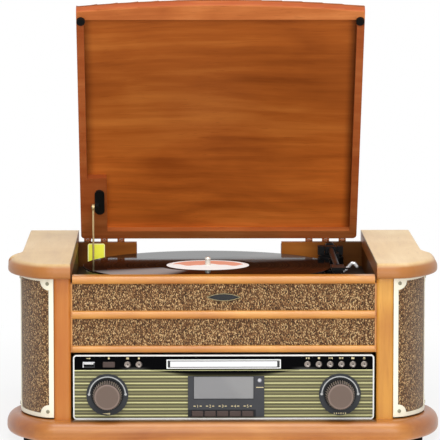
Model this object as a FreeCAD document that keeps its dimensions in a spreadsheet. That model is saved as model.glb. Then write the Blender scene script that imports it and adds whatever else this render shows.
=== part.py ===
import FreeCAD
import Part
import Sketcher
import math
import os
from types import SimpleNamespace

Vector = FreeCAD.Vector
doc = FreeCAD.newDocument("music_center")
sheet = doc.addObject("Spreadsheet::Sheet", "dims")

# Driving sizes in millimetres.
sizes = {
    "foot_height": 8,
    "foot_radius": 11,
    "base_thick": 24,
    "base_over": 20,
    "base_tip": 16.5,
    "base_lip": 3.6,
    "stile_height": 165.8,
    "stile_width": 20,
    "stile_thick": 18,
    "top_thick": 17.2,
    "top_over": 10,
    "top_tip": 14.4,
    "top_lip": 0.1,
    "wall_thick": 9,
    "corner_depth": 75,
    "ogee_start": 80,
    "ogee_end": 150,
    "back_thick": 6,
    "grille_width": 41.4,
    "grille_depth": 70,
    "grille_thick": 1.4,
    "cloth_thick": 1.2,
    "grille_edge": 5.6,
    "grille_lift": 2,
    "grille_foot": 4.5,
    "grille_head": 3.5,
    "gusset_radius": 10,
    "screw_radius": 2.2,
    "board_front": 4,
    "board_thick": 10,
    "panel_gap": 2,
    "front_drop": 14.3,
    "fascia_height": 76,
    "fascia_gap": 2.5,
    "fascia_head": 2.5,
    "border_width": 1.6,
    "fascia_set": 0.6,
    "lower_rail": 8.1,
    "middle_rail": 9.6,
    "top_rail": 9.5,
    "emblem_half": 20.5,
    "emblem_rise": 4.65,
    "strip_drop": 11.4,
    "cd_half": 63.7,
    "cd_rise": 3.1,
    "cd_clear": 0.3,
    "cd_rim": 2.6,
    "cd_drop": 10.8,
    "tray_length": 152,
    "tray_thick": 5,
    "usb_half": 6.9,
    "usb_rise": 3.2,
    "usb_wall": 0.8,
    "usb_inset": 18.3,
    "power_half": 7,
    "power_rise": 3.2,
    "power_inset": 41.7,
    "round_radius": 3.8,
    "round_pitch": 13.2,
    "left_round_inset": 63.5,
    "right_round_inset": 11.7,
    "button_gap": 0.3,
    "button_proud": 1.4,
    "button_flange": 0.9,
    "display_left": 41.7,
    "display_right": 47.4,
    "display_low": 3,
    "display_drop": 25,
    "display_proud": 1.4,
    "lens_half": 34.7,
    "lens_margin": 0.6,
    "lens_height": 26,
    "menu_pitch": 14.6,
    "menu_half": 6.6,
    "menu_rise": 3.2,
    "menu_level": 6.8,
    "menu_centre": 1.2,
    "sensor_radius": 2.6,
    "knob_inset": 39.9,
    "knob_drop": 17.6,
    "knob_radius": 15.3,
    "knob_length": 18,
    "ring_foot": 4.7,
    "ring_thick": 1.6,
    "shaft_radius": 3,
    "run_clear": 0.06,
    "deck_drop": 43,
    "deck_thick": 6,
    "record_x": 17,
    "well_gap": 10,
    "well_front": 7,
    "well_rear": 4.8,
    "record_radius": 151,
    "record_thick": 1.6,
    "platter_inset": 52,
    "platter_thick": 15.5,
    "platter_lift": 3.4,
    "spindle_radius": 3.55,
    "spindle_rise": 10,
    "motor_gap": 26,
    "motor_radius": 17,
    "pulley_radius": 6,
    "belt_thick": 0.8,
    "belt_gap": 0.3,
    "arm_inset": 41,
    "arm_setback": 42.8,
    "arm_base_radius": 16,
    "arm_post_drop": 8,
    "arm_rise": 5.5,
    "arm_radius": 3.5,
    "arm_over": 27,
    "lever_reach": 50,
    "lever_rise": 3.6,
    "lever_radius": 2,
    "block_drop": 12.5,
    "block_thick": 10.5,
    "block_left_length": 73,
    "block_right_length": 101,
    "hinge_inset": 13.9,
    "hinge_rise": 1.2,
    "hinge_left_inset": 32,
    "hinge_right_inset": 45,
    "hinge_length": 51,
    "leaf_thick": 1,
    "leaf_height": 10,
    "knuckle": 9,
    "barrel_radius": 1.8,
    "pin_radius": 0.8,
    "lid_gap": 4.5,
    "lid_shift": 1.6,
    "lid_over": 7,
    "lid_bow": 9.2,
    "lid_recess": 8.5,
    "lid_panel": 5.5,
    "lid_corner": 5,
    "lid_side": 9,
    "lid_rear": 11.5,
    "lid_front": 12.6,
    "stay_block": 33,
    "stay_block_length": 94.5,
    "stay_inset": 16.1,
    "stay_arm": 55,
    "stay_drop": 4.5,
    "stay_radius": 1.25,
    "stay_clear": 0.6,
    "bumper_radius": 5,
}

# Angles in degrees.
open_angle = 58.6
motor_angle = 135


# A number that remembers the expression it came from, so features can be bound to the sheet.
class Size:
    def __init__(self, value, text):
        self.value = float(value)
        self.text = text

    def __add__(self, other):
        return Size(self.value + num(other), f"({self.text} + {text(other)})")

    def __radd__(self, other):
        return Size(num(other) + self.value, f"({text(other)} + {self.text})")

    def __sub__(self, other):
        return Size(self.value - num(other), f"({self.text} - {text(other)})")

    def __rsub__(self, other):
        return Size(num(other) - self.value, f"({text(other)} - {self.text})")

    def __mul__(self, other):
        return Size(self.value * num(other), f"({self.text} * {text(other)})")

    def __rmul__(self, other):
        return Size(num(other) * self.value, f"({text(other)} * {self.text})")

    def __truediv__(self, other):
        return Size(self.value / num(other), f"({self.text} / {text(other)})")

    def __neg__(self):
        return Size(-self.value, f"(0 - {self.text})")


def num(size):
    return size.value if isinstance(size, Size) else float(size)


def text(size):
    return size.text if isinstance(size, Size) else f"{float(size):.6f}"


for row, (alias, value) in enumerate(sizes.items(), 1):
    sheet.set(f"A{row}", alias)
    sheet.set(f"B{row}", str(value))
    sheet.setAlias(f"B{row}", alias)
doc.recompute()
d = SimpleNamespace(**{alias: Size(value, f"dims.{alias}") for alias, value in sizes.items()})

nodes = []


def node(name, obj):
    obj.Label = name
    nodes.append(obj)
    return obj


def bind(obj, prop, size):
    obj.setExpression(prop, text(size))


def put(obj, x, y, z):
    for axis, size in zip("xyz", (x, y, z)):
        bind(obj, "Placement.Base." + axis, size)
    return obj


def block(x0, x1, y0, y1, z0, z1):
    obj = doc.addObject("Part::Box", "block")
    bind(obj, "Length", x1 - x0)
    bind(obj, "Width", y1 - y0)
    bind(obj, "Height", z1 - z0)
    return put(obj, x0, y0, z0)


def side_block(side, x0, x1, y0, y1, z0, z1):
    return block(x0, x1, y0, y1, z0, z1) if side > 0 else block(-x1, -x0, y0, y1, z0, z1)


directions = {"x": Vector(1, 0, 0), "y": Vector(0, 1, 0), "z": Vector(0, 0, 1)}


def rod(axis, x, y, z, radius, length):
    obj = doc.addObject("Part::Cylinder", "rod")
    bind(obj, "Radius", radius)
    bind(obj, "Height", length)
    direction = directions[axis] if isinstance(axis, str) else axis
    obj.Placement = FreeCAD.Placement(Vector(), FreeCAD.Rotation(Vector(0, 0, 1), direction))
    return put(obj, x, y, z)


def group(*shapes):
    obj = doc.addObject("Part::Compound", "group")
    obj.Links = list(shapes)
    return obj


def fuse(*shapes):
    obj = doc.addObject("Part::MultiFuse", "fuse")
    obj.Shapes = list(shapes)
    return obj


def common(first, second):
    obj = doc.addObject("Part::Common", "common")
    obj.Base = first
    obj.Tool = second
    return obj


def cut(base, *tools):
    obj = doc.addObject("Part::Cut", "cut")
    obj.Base = base
    obj.Tool = tools[0] if len(tools) == 1 else group(*tools)
    return obj


# An arc of a given radius between two points, turning left (ccw) or right (cw).
def arc_between(p, q, radius, turn):
    chord = q - p
    rise = math.sqrt(max(radius ** 2 - (chord.Length / 2) ** 2, 0))
    left = Vector(-chord.y, chord.x, 0).normalize()
    centre = (p + q) / 2 + left * (rise if turn == "ccw" else -rise)
    first, last = (p, q) if turn == "ccw" else (q, p)
    start = math.atan2(first.y - centre.y, first.x - centre.x)
    end = math.atan2(last.y - centre.y, last.x - centre.x)
    if end < start:
        end += 2 * math.pi
    return Part.ArcOfCircle(Part.Circle(centre, Vector(0, 0, 1), radius), start, end)


# Draws a closed path; each vertex is (u, v) or (u, v, radius, turn) for an arc that leaves it.
def draw_path(sketch, path):
    ends = []
    for i, vertex in enumerate(path):
        after = path[(i + 1) % len(path)]
        p = Vector(num(vertex[0]), num(vertex[1]), 0)
        q = Vector(num(after[0]), num(after[1]), 0)
        if len(vertex) == 4:
            geo = sketch.addGeometry(arc_between(p, q, num(vertex[2]), vertex[3]), False)
            ends.append((geo, 1, 2) if vertex[3] == "ccw" else (geo, 2, 1))
        else:
            geo = sketch.addGeometry(Part.LineSegment(p, q), False)
            ends.append((geo, 1, 2))
    for i, vertex in enumerate(path):
        geo, first, last = ends[i]
        after = ends[(i + 1) % len(path)]
        sketch.addConstraint(Sketcher.Constraint("Coincident", geo, last, after[0], after[1]))
        for kind, size in (("DistanceX", vertex[0]), ("DistanceY", vertex[1])):
            index = sketch.addConstraint(Sketcher.Constraint(kind, geo, first, num(size)))
            bind(sketch, f"Constraints[{index}]", size)
        if len(vertex) == 4:
            index = sketch.addConstraint(Sketcher.Constraint("Radius", geo, num(vertex[2])))
            bind(sketch, f"Constraints[{index}]", vertex[2])


def draw_circle(sketch, u, v, radius):
    centre = Vector(num(u), num(v), 0)
    geo = sketch.addGeometry(Part.Circle(centre, Vector(0, 0, 1), num(radius)), False)
    for kind, size in (("DistanceX", u), ("DistanceY", v)):
        index = sketch.addConstraint(Sketcher.Constraint(kind, geo, 3, num(size)))
        bind(sketch, f"Constraints[{index}]", size)
    index = sketch.addConstraint(Sketcher.Constraint("Radius", geo, num(radius)))
    bind(sketch, f"Constraints[{index}]", radius)


# A padded outline between two levels along the plane's third axis; a 3-tuple outline is a circle.
def prism(plane, outline, low, high):
    body = doc.addObject("PartDesign::Body", "body")
    sketch = body.newObject("Sketcher::SketchObject", "outline")
    support = [o for o in body.Origin.OriginFeatures if o.Role == plane + "_Plane"][0]
    sketch.AttachmentSupport = (support, [""])
    sketch.MapMode = "FlatFace"
    bind(sketch, "AttachmentOffset.Base.z", -high if plane == "XZ" else low)
    if isinstance(outline, tuple):
        draw_circle(sketch, *outline)
    else:
        draw_path(sketch, outline)
    pad = body.newObject("PartDesign::Pad", "pad")
    pad.Profile = sketch
    bind(pad, "Length", high - low)
    doc.recompute()
    return body


def flat(edge, axis, size):
    span = edge.BoundBox
    low, high = getattr(span, axis.upper() + "Min"), getattr(span, axis.upper() + "Max")
    return abs(low - num(size)) < 0.001 and abs(high - num(size)) < 0.001


def rounded(body, radius, chosen):
    base = body.Tip
    names = [f"Edge{i}" for i, edge in enumerate(base.Shape.Edges, 1) if chosen(edge)]
    feature = body.newObject("PartDesign::Fillet", "rounding")
    feature.Base = (base, names)
    bind(feature, "Radius", radius)
    doc.recompute()
    return body


# Rounds edges with a radius that changes along the depth.
def rounded_along(body, radius_at, chosen):
    feature = doc.addObject("Part::Fillet", "rounding")
    feature.Base = body
    radii = []
    for i, edge in enumerate(body.Shape.Edges, 1):
        if chosen(edge):
            ends = [radius_at(edge.valueAt(place).y) for place in edge.ParameterRange]
            radii.append((i, *ends))
    feature.Edges = radii
    doc.recompute()
    return feature


def round_rectangle(u0, u1, v0, v1, r):
    return [(u0 + r, v0), (u1 - r, v0, r, "ccw"), (u1, v0 + r), (u1, v1 - r, r, "ccw"),
            (u1 - r, v1), (u0 + r, v1, r, "ccw"), (u0, v1 - r), (u0, v0 + r, r, "ccw")]


# The same outline on the other side: u changes sign and arcs turn the other way.
def mirrored(path):
    other = {"ccw": "cw", "cw": "ccw"}
    return [(-v[0],) + tuple(v[1:3]) + tuple(other[w] for w in v[3:]) for v in path]


def on_side(side, path):
    return path if side > 0 else mirrored(path)


sides = (1, -1)

# Levels and planes that the pieces share.
z_floor = d.foot_height + d.base_thick
z_under = z_floor + d.stile_height
z_top = z_under + d.top_thick
z_deck = z_top - d.deck_drop
z_block = z_top - d.block_drop
z_fascia = z_floor + d.fascia_height

# The record sets the width of the well and the depth of the cabinet around it.
open_half = d.record_radius + d.record_x + d.well_gap
x_pillar = open_half + d.stile_width
side_half = x_pillar + d.grille_width
panel_half = open_half - d.panel_gap
fascia_half = open_half - d.fascia_gap
lid_half = open_half - d.lid_gap
before_record = d.board_front + d.board_thick + d.well_front
behind_record = d.well_rear + d.block_thick + d.barrel_radius + d.hinge_inset
depth = before_record + d.record_radius * 2 + behind_record
y_back = (depth + d.base_over) / 2
y_stile = y_back - depth
y_cover = y_back - d.back_thick
y_ogee = y_stile + d.ogee_start
y_axis = y_back - d.hinge_inset
y_leaf = y_axis - d.barrel_radius
y_block = y_leaf - d.block_thick
block_left = open_half - d.block_left_length
block_right = open_half - d.block_right_length


# A corner in plan that turns tightly at the front and then sweeps back along the side.
def sweeping_corner(x, y, width, depth):
    half = math.sqrt(0.5)
    rest = 1 - half
    spread = half * half - rest * rest
    tight = (width * half - depth * rest) / spread
    wide = (depth * half - width * rest) / spread
    return [(x, y, tight, "ccw"), (x + tight * half, y + tight * rest, wide, "ccw"), (x + width, y + depth)]


# Right-hand edge of a board in plan: nose, corner, tip and the ogee back to the side.
def board_edge(tip, over, lip):
    nose = y_stile - over
    x_tip = side_half + tip
    x_side = side_half + lip
    inset = x_tip - x_side
    run = d.ogee_end - d.ogee_start
    sweep = (run * run + inset * inset) / (4 * inset)
    corner = sweeping_corner(x_pillar, nose, x_tip - x_pillar, d.corner_depth + over)
    return corner + [(x_tip, y_ogee, sweep, "ccw"), (x_tip - inset / 2, y_ogee + run / 2, sweep, "cw"),
                     (x_side, y_stile + d.ogee_end), (x_side, y_back)]


# Reverses an edge list so that arcs are carried by the vertex they now leave.
def reversed_edge(path):
    other = {"ccw": "cw", "cw": "ccw"}
    points = [v[:2] for v in path][::-1]
    arcs = [tuple(v[2:]) for v in path][:-1][::-1]
    turned = [(a[0], other[a[1]]) if a else () for a in arcs] + [()]
    return [p + a for p, a in zip(points, turned)]


# Cabinet boards.
edge = board_edge(d.base_tip, d.base_over, d.base_lip)
base = prism("XY", edge + reversed_edge(mirrored(edge)), d.foot_height, z_floor)
rounded(base, d.base_thick * 0.54, lambda e: flat(e, "z", z_floor) and not flat(e, "y", y_back))
rounded(base, d.base_thick * 0.28, lambda e: flat(e, "z", d.foot_height) and not flat(e, "y", y_back))
node("base_board", base)

foot_x = side_half - 15
feet = [rod("z", side * foot_x, y, 0, d.foot_radius, d.foot_height)
        for side in sides for y in (y_stile + 42, y_back - 40)]
node("feet", group(*feet))


# The top boards' edge is a deep round at the nose and fades along the ogee to a slight one.
def nose_radius(y):
    share = (y - num(y_ogee)) / num(d.ogee_end - d.ogee_start)
    deep, slight = num(d.top_thick) * 0.66, num(d.top_thick) * 0.13
    return deep + (slight - deep) * min(max(share, 0), 1)


top_boards = []
for side in sides:
    edge = board_edge(d.top_tip, d.top_over, d.top_lip)
    path = [(open_half, y_stile - d.top_over)] + edge + [(open_half, y_back)]
    board = prism("XY", on_side(side, path), z_under, z_top)
    inner = side * open_half
    rounded(board, d.top_thick * 0.2, lambda e: flat(e, "z", z_under)
            and not flat(e, "y", y_back) and not flat(e, "x", inner))
    top_boards.append(rounded_along(board, nose_radius, lambda e: flat(e, "z", z_top)
                                    and not flat(e, "y", y_back) and not flat(e, "x", inner)))
node("top_boards", group(*top_boards))

stiles = []
for side in sides:
    low, high = sorted((side * open_half, side * x_pillar), key=num)
    y_rear = y_stile + d.stile_thick
    stile = prism("XY", [(low, y_stile), (high, y_stile), (high, y_rear), (low, y_rear)], z_floor, z_under)
    rounded(stile, d.stile_width * 0.2, lambda e: flat(e, "y", y_stile) and e.BoundBox.ZLength > 20)
    stiles.append(stile)
node("stiles", group(*stiles))

walls = []
for side in sides:
    walls.append(side_block(side, open_half, open_half + d.wall_thick, y_stile + d.stile_thick, y_cover,
                            z_floor, z_under))
    walls.append(side_block(side, side_half - d.wall_thick, side_half, y_ogee, y_cover, z_floor, z_under))
node("pillar_walls", group(*walls))

# Rear cover with the gap between the hinge blocks, vents and the mains inlet's hole.
inlet = dict(x0=side_half - 86.5, x1=side_half - 62.5, z0=z_floor + 14, z1=z_floor + 30)
cover = prism("XZ", [(-side_half, z_floor), (side_half, z_floor), (side_half, z_under),
                     (block_right, z_under), (block_right, z_deck), (-block_left, z_deck),
                     (-block_left, z_under), (-side_half, z_under)], y_cover, y_back)
vents = [block(x, x + 3, y_cover - 1, y_back + 1, z_floor + 40, z_floor + 90) for x in range(-60, 61, 12)]
inlet_hole = block(inlet["x0"], inlet["x1"], y_cover - 1, y_back + 1, inlet["z0"], inlet["z1"])
node("back_panel", cut(cover, inlet_hole, *vents))
inlet_body = block(inlet["x0"], inlet["x1"], y_back - 22, y_back, inlet["z0"], inlet["z1"])
inlet_mouth = block(inlet["x0"] + 3, inlet["x1"] - 3, y_back - 16, y_back + 1,
                    inlet["z0"] + 3, inlet["z1"] - 3)
node("mains_inlet", cut(inlet_body, inlet_mouth))

# Curved loudspeaker corners: cloth behind a frame whose corners carry screws.
y_grille = y_stile + 1
z_grille0, z_grille1 = z_floor + d.grille_lift, z_under - 0.5


# A wall that follows the corner between two depths behind its outer face.
def curved_wall(side, near, far, low, high):
    outer, inner = [sweeping_corner(x_pillar, y_grille + inset, d.grille_width - inset, d.grille_depth - inset)
                    for inset in (near, far)]
    path = outer + [(side_half - near, y_ogee), (side_half - far, y_ogee)] + reversed_edge(inner)
    return prism("XY", on_side(side, path), low, high)


frames, cloths, screws = [], [], []
skin = d.grille_thick
tight = sweeping_corner(x_pillar, y_grille, d.grille_width, d.grille_depth)[0][2]
screw_turn = math.radians(19.3)
for side in sides:
    wall = curved_wall(side, 0, skin, z_grille0, z_grille1)
    x_edge = x_pillar + d.grille_edge
    y_edge = y_ogee - d.grille_edge
    z_low, z_high = z_grille0 + d.grille_foot, z_grille1 - d.grille_head
    window = side_block(side, x_edge, side_half + 5, y_stile - 5, y_edge, z_low, z_high)
    gussets = []
    for z in (z_low, z_high):
        gussets.append(rod("y", side * x_edge, y_stile - 2, z, d.gusset_radius, 22))
        gussets.append(rod("x", side * side_half - 6, y_edge, z, d.gusset_radius, 12))
    band = curved_wall(side, 0, skin, z_grille0, z_grille1)
    corners = common(band, group(*gussets))
    frames.append(fuse(cut(wall, window), corners))
    cloths.append(curved_wall(side, skin, skin + d.cloth_thick, z_grille0, z_grille1))
    outward = Vector(side * math.sin(screw_turn), -math.cos(screw_turn), 0)
    for z in (z_low + 2.5, z_high - 2.5):
        screws.append(rod(outward, side * (x_pillar + tight * math.sin(screw_turn)),
                          y_grille + tight * (1 - math.cos(screw_turn)), z, d.screw_radius, 1))
        start = side * side_half if side > 0 else -side_half - 1
        screws.append(rod("x", start, y_edge - 3, z, d.screw_radius, 1))
node("grille_frames", group(*frames))
node("grille_cloths", group(*cloths))
node("grille_screws", group(*screws))

# Loudspeakers on slanting baffles behind the grilles.
speakers = []
driver_radius = d.grille_width * 0.58
driver_depth = driver_radius * 0.58
for side in sides:
    first = (x_pillar, y_stile + d.stile_thick)
    last = (side_half - d.wall_thick, y_ogee)
    run = Vector(num(last[0] - first[0]), num(last[1] - first[1]), 0).normalize()
    inward = Vector(-run.y, run.x, 0)
    thick = 6
    path = [first, last, (last[0] + thick * inward.x, last[1] + thick * inward.y),
            (first[0] + thick * inward.x, first[1] + thick * inward.y)]
    baffle = prism("XY", on_side(side, path), z_floor, z_under)
    out = Vector(-side * inward.x, -inward.y, 0)
    x_mid, y_mid = (first[0] + last[0]) / 2, (first[1] + last[1]) / 2
    z_mid = z_floor + d.stile_height / 2

    def along(distance, radius, length):
        return rod(out, side * x_mid + distance * out.x, y_mid + distance * out.y, z_mid, radius, length)

    driver = fuse(along(0, driver_radius, 2), along(-driver_depth, driver_radius * 0.8, driver_depth),
                  along(driver_depth * -1.43, driver_radius * 0.6, driver_depth * 0.5))
    cone = doc.addObject("Part::Cone", "cone")
    bind(cone, "Radius1", driver_radius * 0.35)
    bind(cone, "Radius2", driver_radius * 0.72)
    bind(cone, "Height", driver_depth * 0.86)
    cone.Placement = FreeCAD.Placement(Vector(), FreeCAD.Rotation(Vector(0, 0, 1), out))
    put(cone, side * x_mid - driver_depth * (0.65 * out.x), y_mid - driver_depth * (0.65 * out.y), z_mid)
    speakers.append(cut(baffle, along(-thick - 1, driver_radius * 0.8, thick + 2)))
    speakers.append(cut(driver, cone))
node("speakers", group(*speakers))

# Front panel: board, rails and two strips of cloth between them.
y_board = y_stile + d.board_front
y_board_rear = y_board + d.board_thick
z_front = z_top - d.front_drop
z_rail1 = z_fascia + d.fascia_head
cloth_height = (z_front - z_rail1 - d.lower_rail - d.middle_rail - d.top_rail) / 2
z_cloth1 = z_rail1 + d.lower_rail
z_rail2 = z_cloth1 + cloth_height
z_cloth2 = z_rail2 + d.middle_rail
z_rail3 = z_cloth2 + cloth_height


def rail(z0, z1, y_rear, proud):
    y_nose = y_stile - proud
    bar = prism("YZ", [(y_nose, z0), (y_rear, z0), (y_rear, z1), (y_nose, z1)], -panel_half, panel_half)
    return rounded(bar, (z1 - z0) * 0.42, lambda e: flat(e, "y", y_nose) and e.BoundBox.XLength > 20)


front_board = block(-open_half, open_half, y_board, y_board_rear, z_rail1, z_rail3)
lower_rail = rail(z_rail1, z_cloth1, y_board, 1)
middle_rail = rail(z_rail2, z_cloth2, y_board, 2)
top_rail = rail(z_rail3, z_front, y_board_rear, 3)
node("front_frame", group(front_board, lower_rail, middle_rail, top_rail))
y_cloth = y_board - d.cloth_thick
node("front_cloths", group(*[block(-panel_half, panel_half, y_cloth, y_board, z, z + cloth_height)
                             for z in (z_cloth1, z_cloth2)]))
z_emblem = z_cloth2 + cloth_height / 2
emblem_curve = (d.emblem_half * d.emblem_half + d.emblem_rise * d.emblem_rise) / (2 * d.emblem_rise)
emblem_path = [(-d.emblem_half, z_emblem, emblem_curve, "ccw"),
               (d.emblem_half, z_emblem, emblem_curve, "ccw")]
node("emblem_plate", prism("XZ", emblem_path, y_cloth - 1.6, y_cloth))

# Control fascia inside a thin border.
y_fascia = y_stile + d.fascia_set
y_plate = y_stile + d.board_front
z_strip = z_fascia - d.strip_drop
b = d.border_width
outer = round_rectangle(-fascia_half, fascia_half, z_floor, z_fascia, b * 2.5)
inner = round_rectangle(b - fascia_half, fascia_half - b, z_floor + b, z_fascia - b, b * 1.5)
ring = cut(prism("XZ", outer, y_stile - 0.6, y_plate), prism("XZ", inner, y_stile - 2, y_plate + 1))
node("fascia_border", ring)

y_display = y_fascia - d.display_proud
z_display0, z_display1 = z_floor + d.display_low, z_fascia - d.display_drop
z_lens1 = z_display1 - d.lens_margin
z_lens0 = z_lens1 - d.lens_height
knob_level = (d.fascia_height - d.knob_drop) / 2
knob_x = fascia_half - d.knob_inset
ring_radius = knob_level - d.ring_foot
z_knob = z_floor + knob_level
z_menu = z_floor + d.menu_level
z_cd = z_fascia - d.cd_drop
usb_x = fascia_half - d.usb_inset
power_x = fascia_half - d.power_inset
left_round_x = fascia_half - d.left_round_inset
right_round_x = fascia_half - d.right_round_inset - d.round_pitch * 5
cd_open_x, cd_open_z = d.cd_half + d.cd_clear, d.cd_rise + d.cd_clear
cd_out_x, cd_out_z = cd_open_x + d.cd_rim, cd_open_z + d.cd_rim * 0.75

round_buttons = {"function_button": -left_round_x, "record_button": d.round_pitch - left_round_x}
for i, name in enumerate(("play_button", "stop_button", "next_button", "previous_button", "folder_button",
                          "eject_button")):
    round_buttons[name] = right_round_x + i * d.round_pitch
menu_buttons = {f"menu_button_{i + 1}": d.menu_pitch * (i - 2) - d.menu_centre for i in range(5)}

holes = [block(-cd_out_x, cd_out_x, y_fascia - 1, y_plate + 1, z_cd - cd_out_z, z_cd + cd_out_z),
         block(-d.display_left, d.display_right, y_fascia - 1, y_plate + 1, z_display0, z_display1),
         block(-usb_x - d.usb_half, d.usb_half - usb_x, y_fascia - 1, y_plate + 1, z_strip - d.usb_rise,
               z_strip + d.usb_rise)]
gap = d.button_gap
holes.append(block(-power_x - d.power_half - gap, d.power_half - power_x + gap, y_fascia - 1, y_plate + 1,
                   z_strip - d.power_rise - gap, z_strip + d.power_rise + gap))
holes += [rod("y", x, y_fascia - 1, z_strip, d.round_radius + gap, y_plate - y_fascia + 2)
          for x in round_buttons.values()]
holes += [rod("y", side * knob_x, y_fascia - 1, z_knob, d.shaft_radius + 0.6, y_plate - y_fascia + 2)
          for side in sides]
node("fascia_panel", cut(prism("XZ", inner, y_fascia, y_plate), *holes))

bezel = block(-cd_out_x, cd_out_x, y_stile - 0.6, y_plate, z_cd - cd_out_z, z_cd + cd_out_z)
bezel_hole = block(-cd_open_x, cd_open_x, y_stile - 2, y_plate + 1, z_cd - cd_open_z, z_cd + cd_open_z)
node("cd_bezel", cut(bezel, bezel_hole))

usb = block(-usb_x - d.usb_half, d.usb_half - usb_x, y_stile - 0.4, y_plate + 10, z_strip - d.usb_rise,
            z_strip + d.usb_rise)
w = d.usb_wall
usb_mouth = block(w - usb_x - d.usb_half, d.usb_half - usb_x - w, y_stile - 2, y_plate + 9,
                  z_strip - d.usb_rise + w, z_strip + d.usb_rise - w)
node("usb_socket", cut(usb, usb_mouth))

lens_hole = block(-d.lens_half, d.lens_half, y_display - 1, y_plate + 1, z_lens0, z_lens1)
sensor_x, sensor_z = d.display_right - 5.3, z_display1 - 5.2
menu_holes = [block(x - d.menu_half - gap, x + d.menu_half + gap, y_display - 1, y_plate + 1,
                    z_menu - d.menu_rise - gap, z_menu + d.menu_rise + gap) for x in menu_buttons.values()]
display = block(-d.display_left, d.display_right, y_display, y_plate, z_display0, z_display1)
sensor_hole = rod("y", sensor_x, y_display - 1, sensor_z, d.sensor_radius, y_plate - y_display + 2)
node("display_module", cut(display, lens_hole, sensor_hole, *menu_holes))
lens = block(-d.lens_half, d.lens_half, y_display + 0.5, y_plate, z_lens0, z_lens1)
sensor = rod("y", sensor_x, y_display - 0.4, sensor_z, d.sensor_radius, y_plate - y_display + 0.4)
node("display_windows", group(lens, sensor))

rings = []
for side in sides:
    disc = rod("y", side * knob_x, y_fascia - d.ring_thick, z_knob, ring_radius, d.ring_thick)
    hole = rod("y", side * knob_x, y_fascia - 5, z_knob, d.knob_radius + 0.7, 10)
    rings.append(cut(disc, hole))
node("dial_rings", group(*rings))

# Buttons: a cap through the panel with a flange behind it.
y_flange = y_plate + 0.1


def rect_button(name, x, z, half, rise, y_face):
    cap = prism("XZ", round_rectangle(x - half, x + half, z - rise, z + rise, rise * 0.25),
                y_face - d.button_proud, y_flange + d.button_flange)
    rounded(cap, 0.5, lambda e: flat(e, "y", y_face - d.button_proud))
    flange = block(x - half - 0.6, x + half + 0.6, y_flange, y_flange + d.button_flange, z - rise - 0.9,
                   z + rise + 0.9)
    node(name, fuse(cap, flange))


rect_button("power_button", -power_x, z_strip, d.power_half, d.power_rise, y_fascia)
for name, x in menu_buttons.items():
    rect_button(name, x, z_menu, d.menu_half, d.menu_rise, y_display)
for name, x in round_buttons.items():
    cap = prism("XZ", (x, z_strip, d.round_radius), y_fascia - d.button_proud, y_flange + d.button_flange)
    rounded(cap, 0.6, lambda e: flat(e, "y", y_fascia - d.button_proud))
    node(name, fuse(cap, rod("y", x, y_flange, z_strip, d.round_radius + 1.1, d.button_flange)))

# Knobs; the tuning knob turns on a shaft that can be pushed.
y_knob = y_fascia - d.ring_thick - 0.4
y_switch = y_plate + 4.6
shaft_end = y_switch + 8


def knob(side):
    cap = prism("XZ", (side * knob_x, z_knob, d.knob_radius), y_knob - d.knob_length, y_knob)
    return rounded(cap, d.knob_radius * 0.1, lambda e: flat(e, "y", y_knob - d.knob_length))


volume_shaft = rod("y", -knob_x, y_knob - 1, z_knob, d.shaft_radius, shaft_end - y_knob + 1)
node("volume_knob", fuse(knob(-1), volume_shaft))
y_bore = y_knob - d.knob_length + 5
bore = rod("y", knob_x, y_bore, z_knob, d.shaft_radius + d.run_clear, 40)
node("tuning_knob", cut(knob(1), bore))
node("tuning_shaft", rod("y", knob_x, y_bore + 0.3, z_knob, d.shaft_radius, shaft_end - y_bore - 0.3))

# Disc drawer and the chassis it slides in.
y_tray = y_stile + 3
front = block(-d.cd_half, d.cd_half, y_stile - 0.8, y_tray, z_cd - d.cd_rise, z_cd + d.cd_rise)
tray = block(-d.cd_half, d.cd_half, y_tray - 0.5, y_tray + d.tray_length, z_cd - d.tray_thick / 2,
             z_cd + d.tray_thick / 2)
y_well = y_tray + d.cd_half + 4.3
disc_well = rod("z", 0, y_well, z_cd + d.tray_thick / 2 - 2.5, d.cd_half - 3.1, 10)
disc_hub = rod("z", 0, y_well, z_cd - 10, 17, 20)
pickup_slot = block(-14, 14, y_well, y_well + 44, z_cd - 10, z_cd + 10)
node("cd_tray", cut(fuse(front, tray), fuse(disc_well, disc_hub, pickup_slot)))

y_chassis = y_board_rear
chassis_x = cd_open_x + 7
chassis = block(-chassis_x, chassis_x, y_chassis, y_tray + d.tray_length + 12, z_cd - cd_open_z - 5,
                z_cd + cd_open_z + 5)
chassis_hole = block(-cd_open_x, cd_open_x, y_chassis - 1, y_tray + d.tray_length + 6, z_cd - cd_open_z,
                     z_cd + cd_open_z)
legs = [side_block(side, chassis_x - 9, chassis_x, y, y + 9, z_floor, z_cd - cd_open_z - 4)
        for side in sides for y in (y_chassis, y_tray + d.tray_length)]
node("cd_chassis", fuse(cut(chassis, chassis_hole), *legs))

# Electronics: the board behind the controls with its two rotary parts, the main board and transformer.
notch = chassis_x + 1
z_notch = z_cd - cd_open_z - 6
z_board1 = z_fascia - 2
board_half = fascia_half - 5.5
outline = [(-board_half, z_floor), (board_half, z_floor), (board_half, z_board1), (notch, z_board1),
           (notch, z_notch), (-notch, z_notch), (-notch, z_board1), (-board_half, z_board1)]
control_board = prism("XZ", outline, y_switch - 1.6, y_switch)
usb_way = block(-usb_x - d.usb_half, d.usb_half - usb_x, y_switch - 3, y_switch + 3, z_strip - d.usb_rise,
                z_strip + d.usb_rise)


def shaft_way(side):
    return rod("y", side * knob_x, y_switch - 3, z_knob, d.shaft_radius + d.run_clear, 20)


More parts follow.
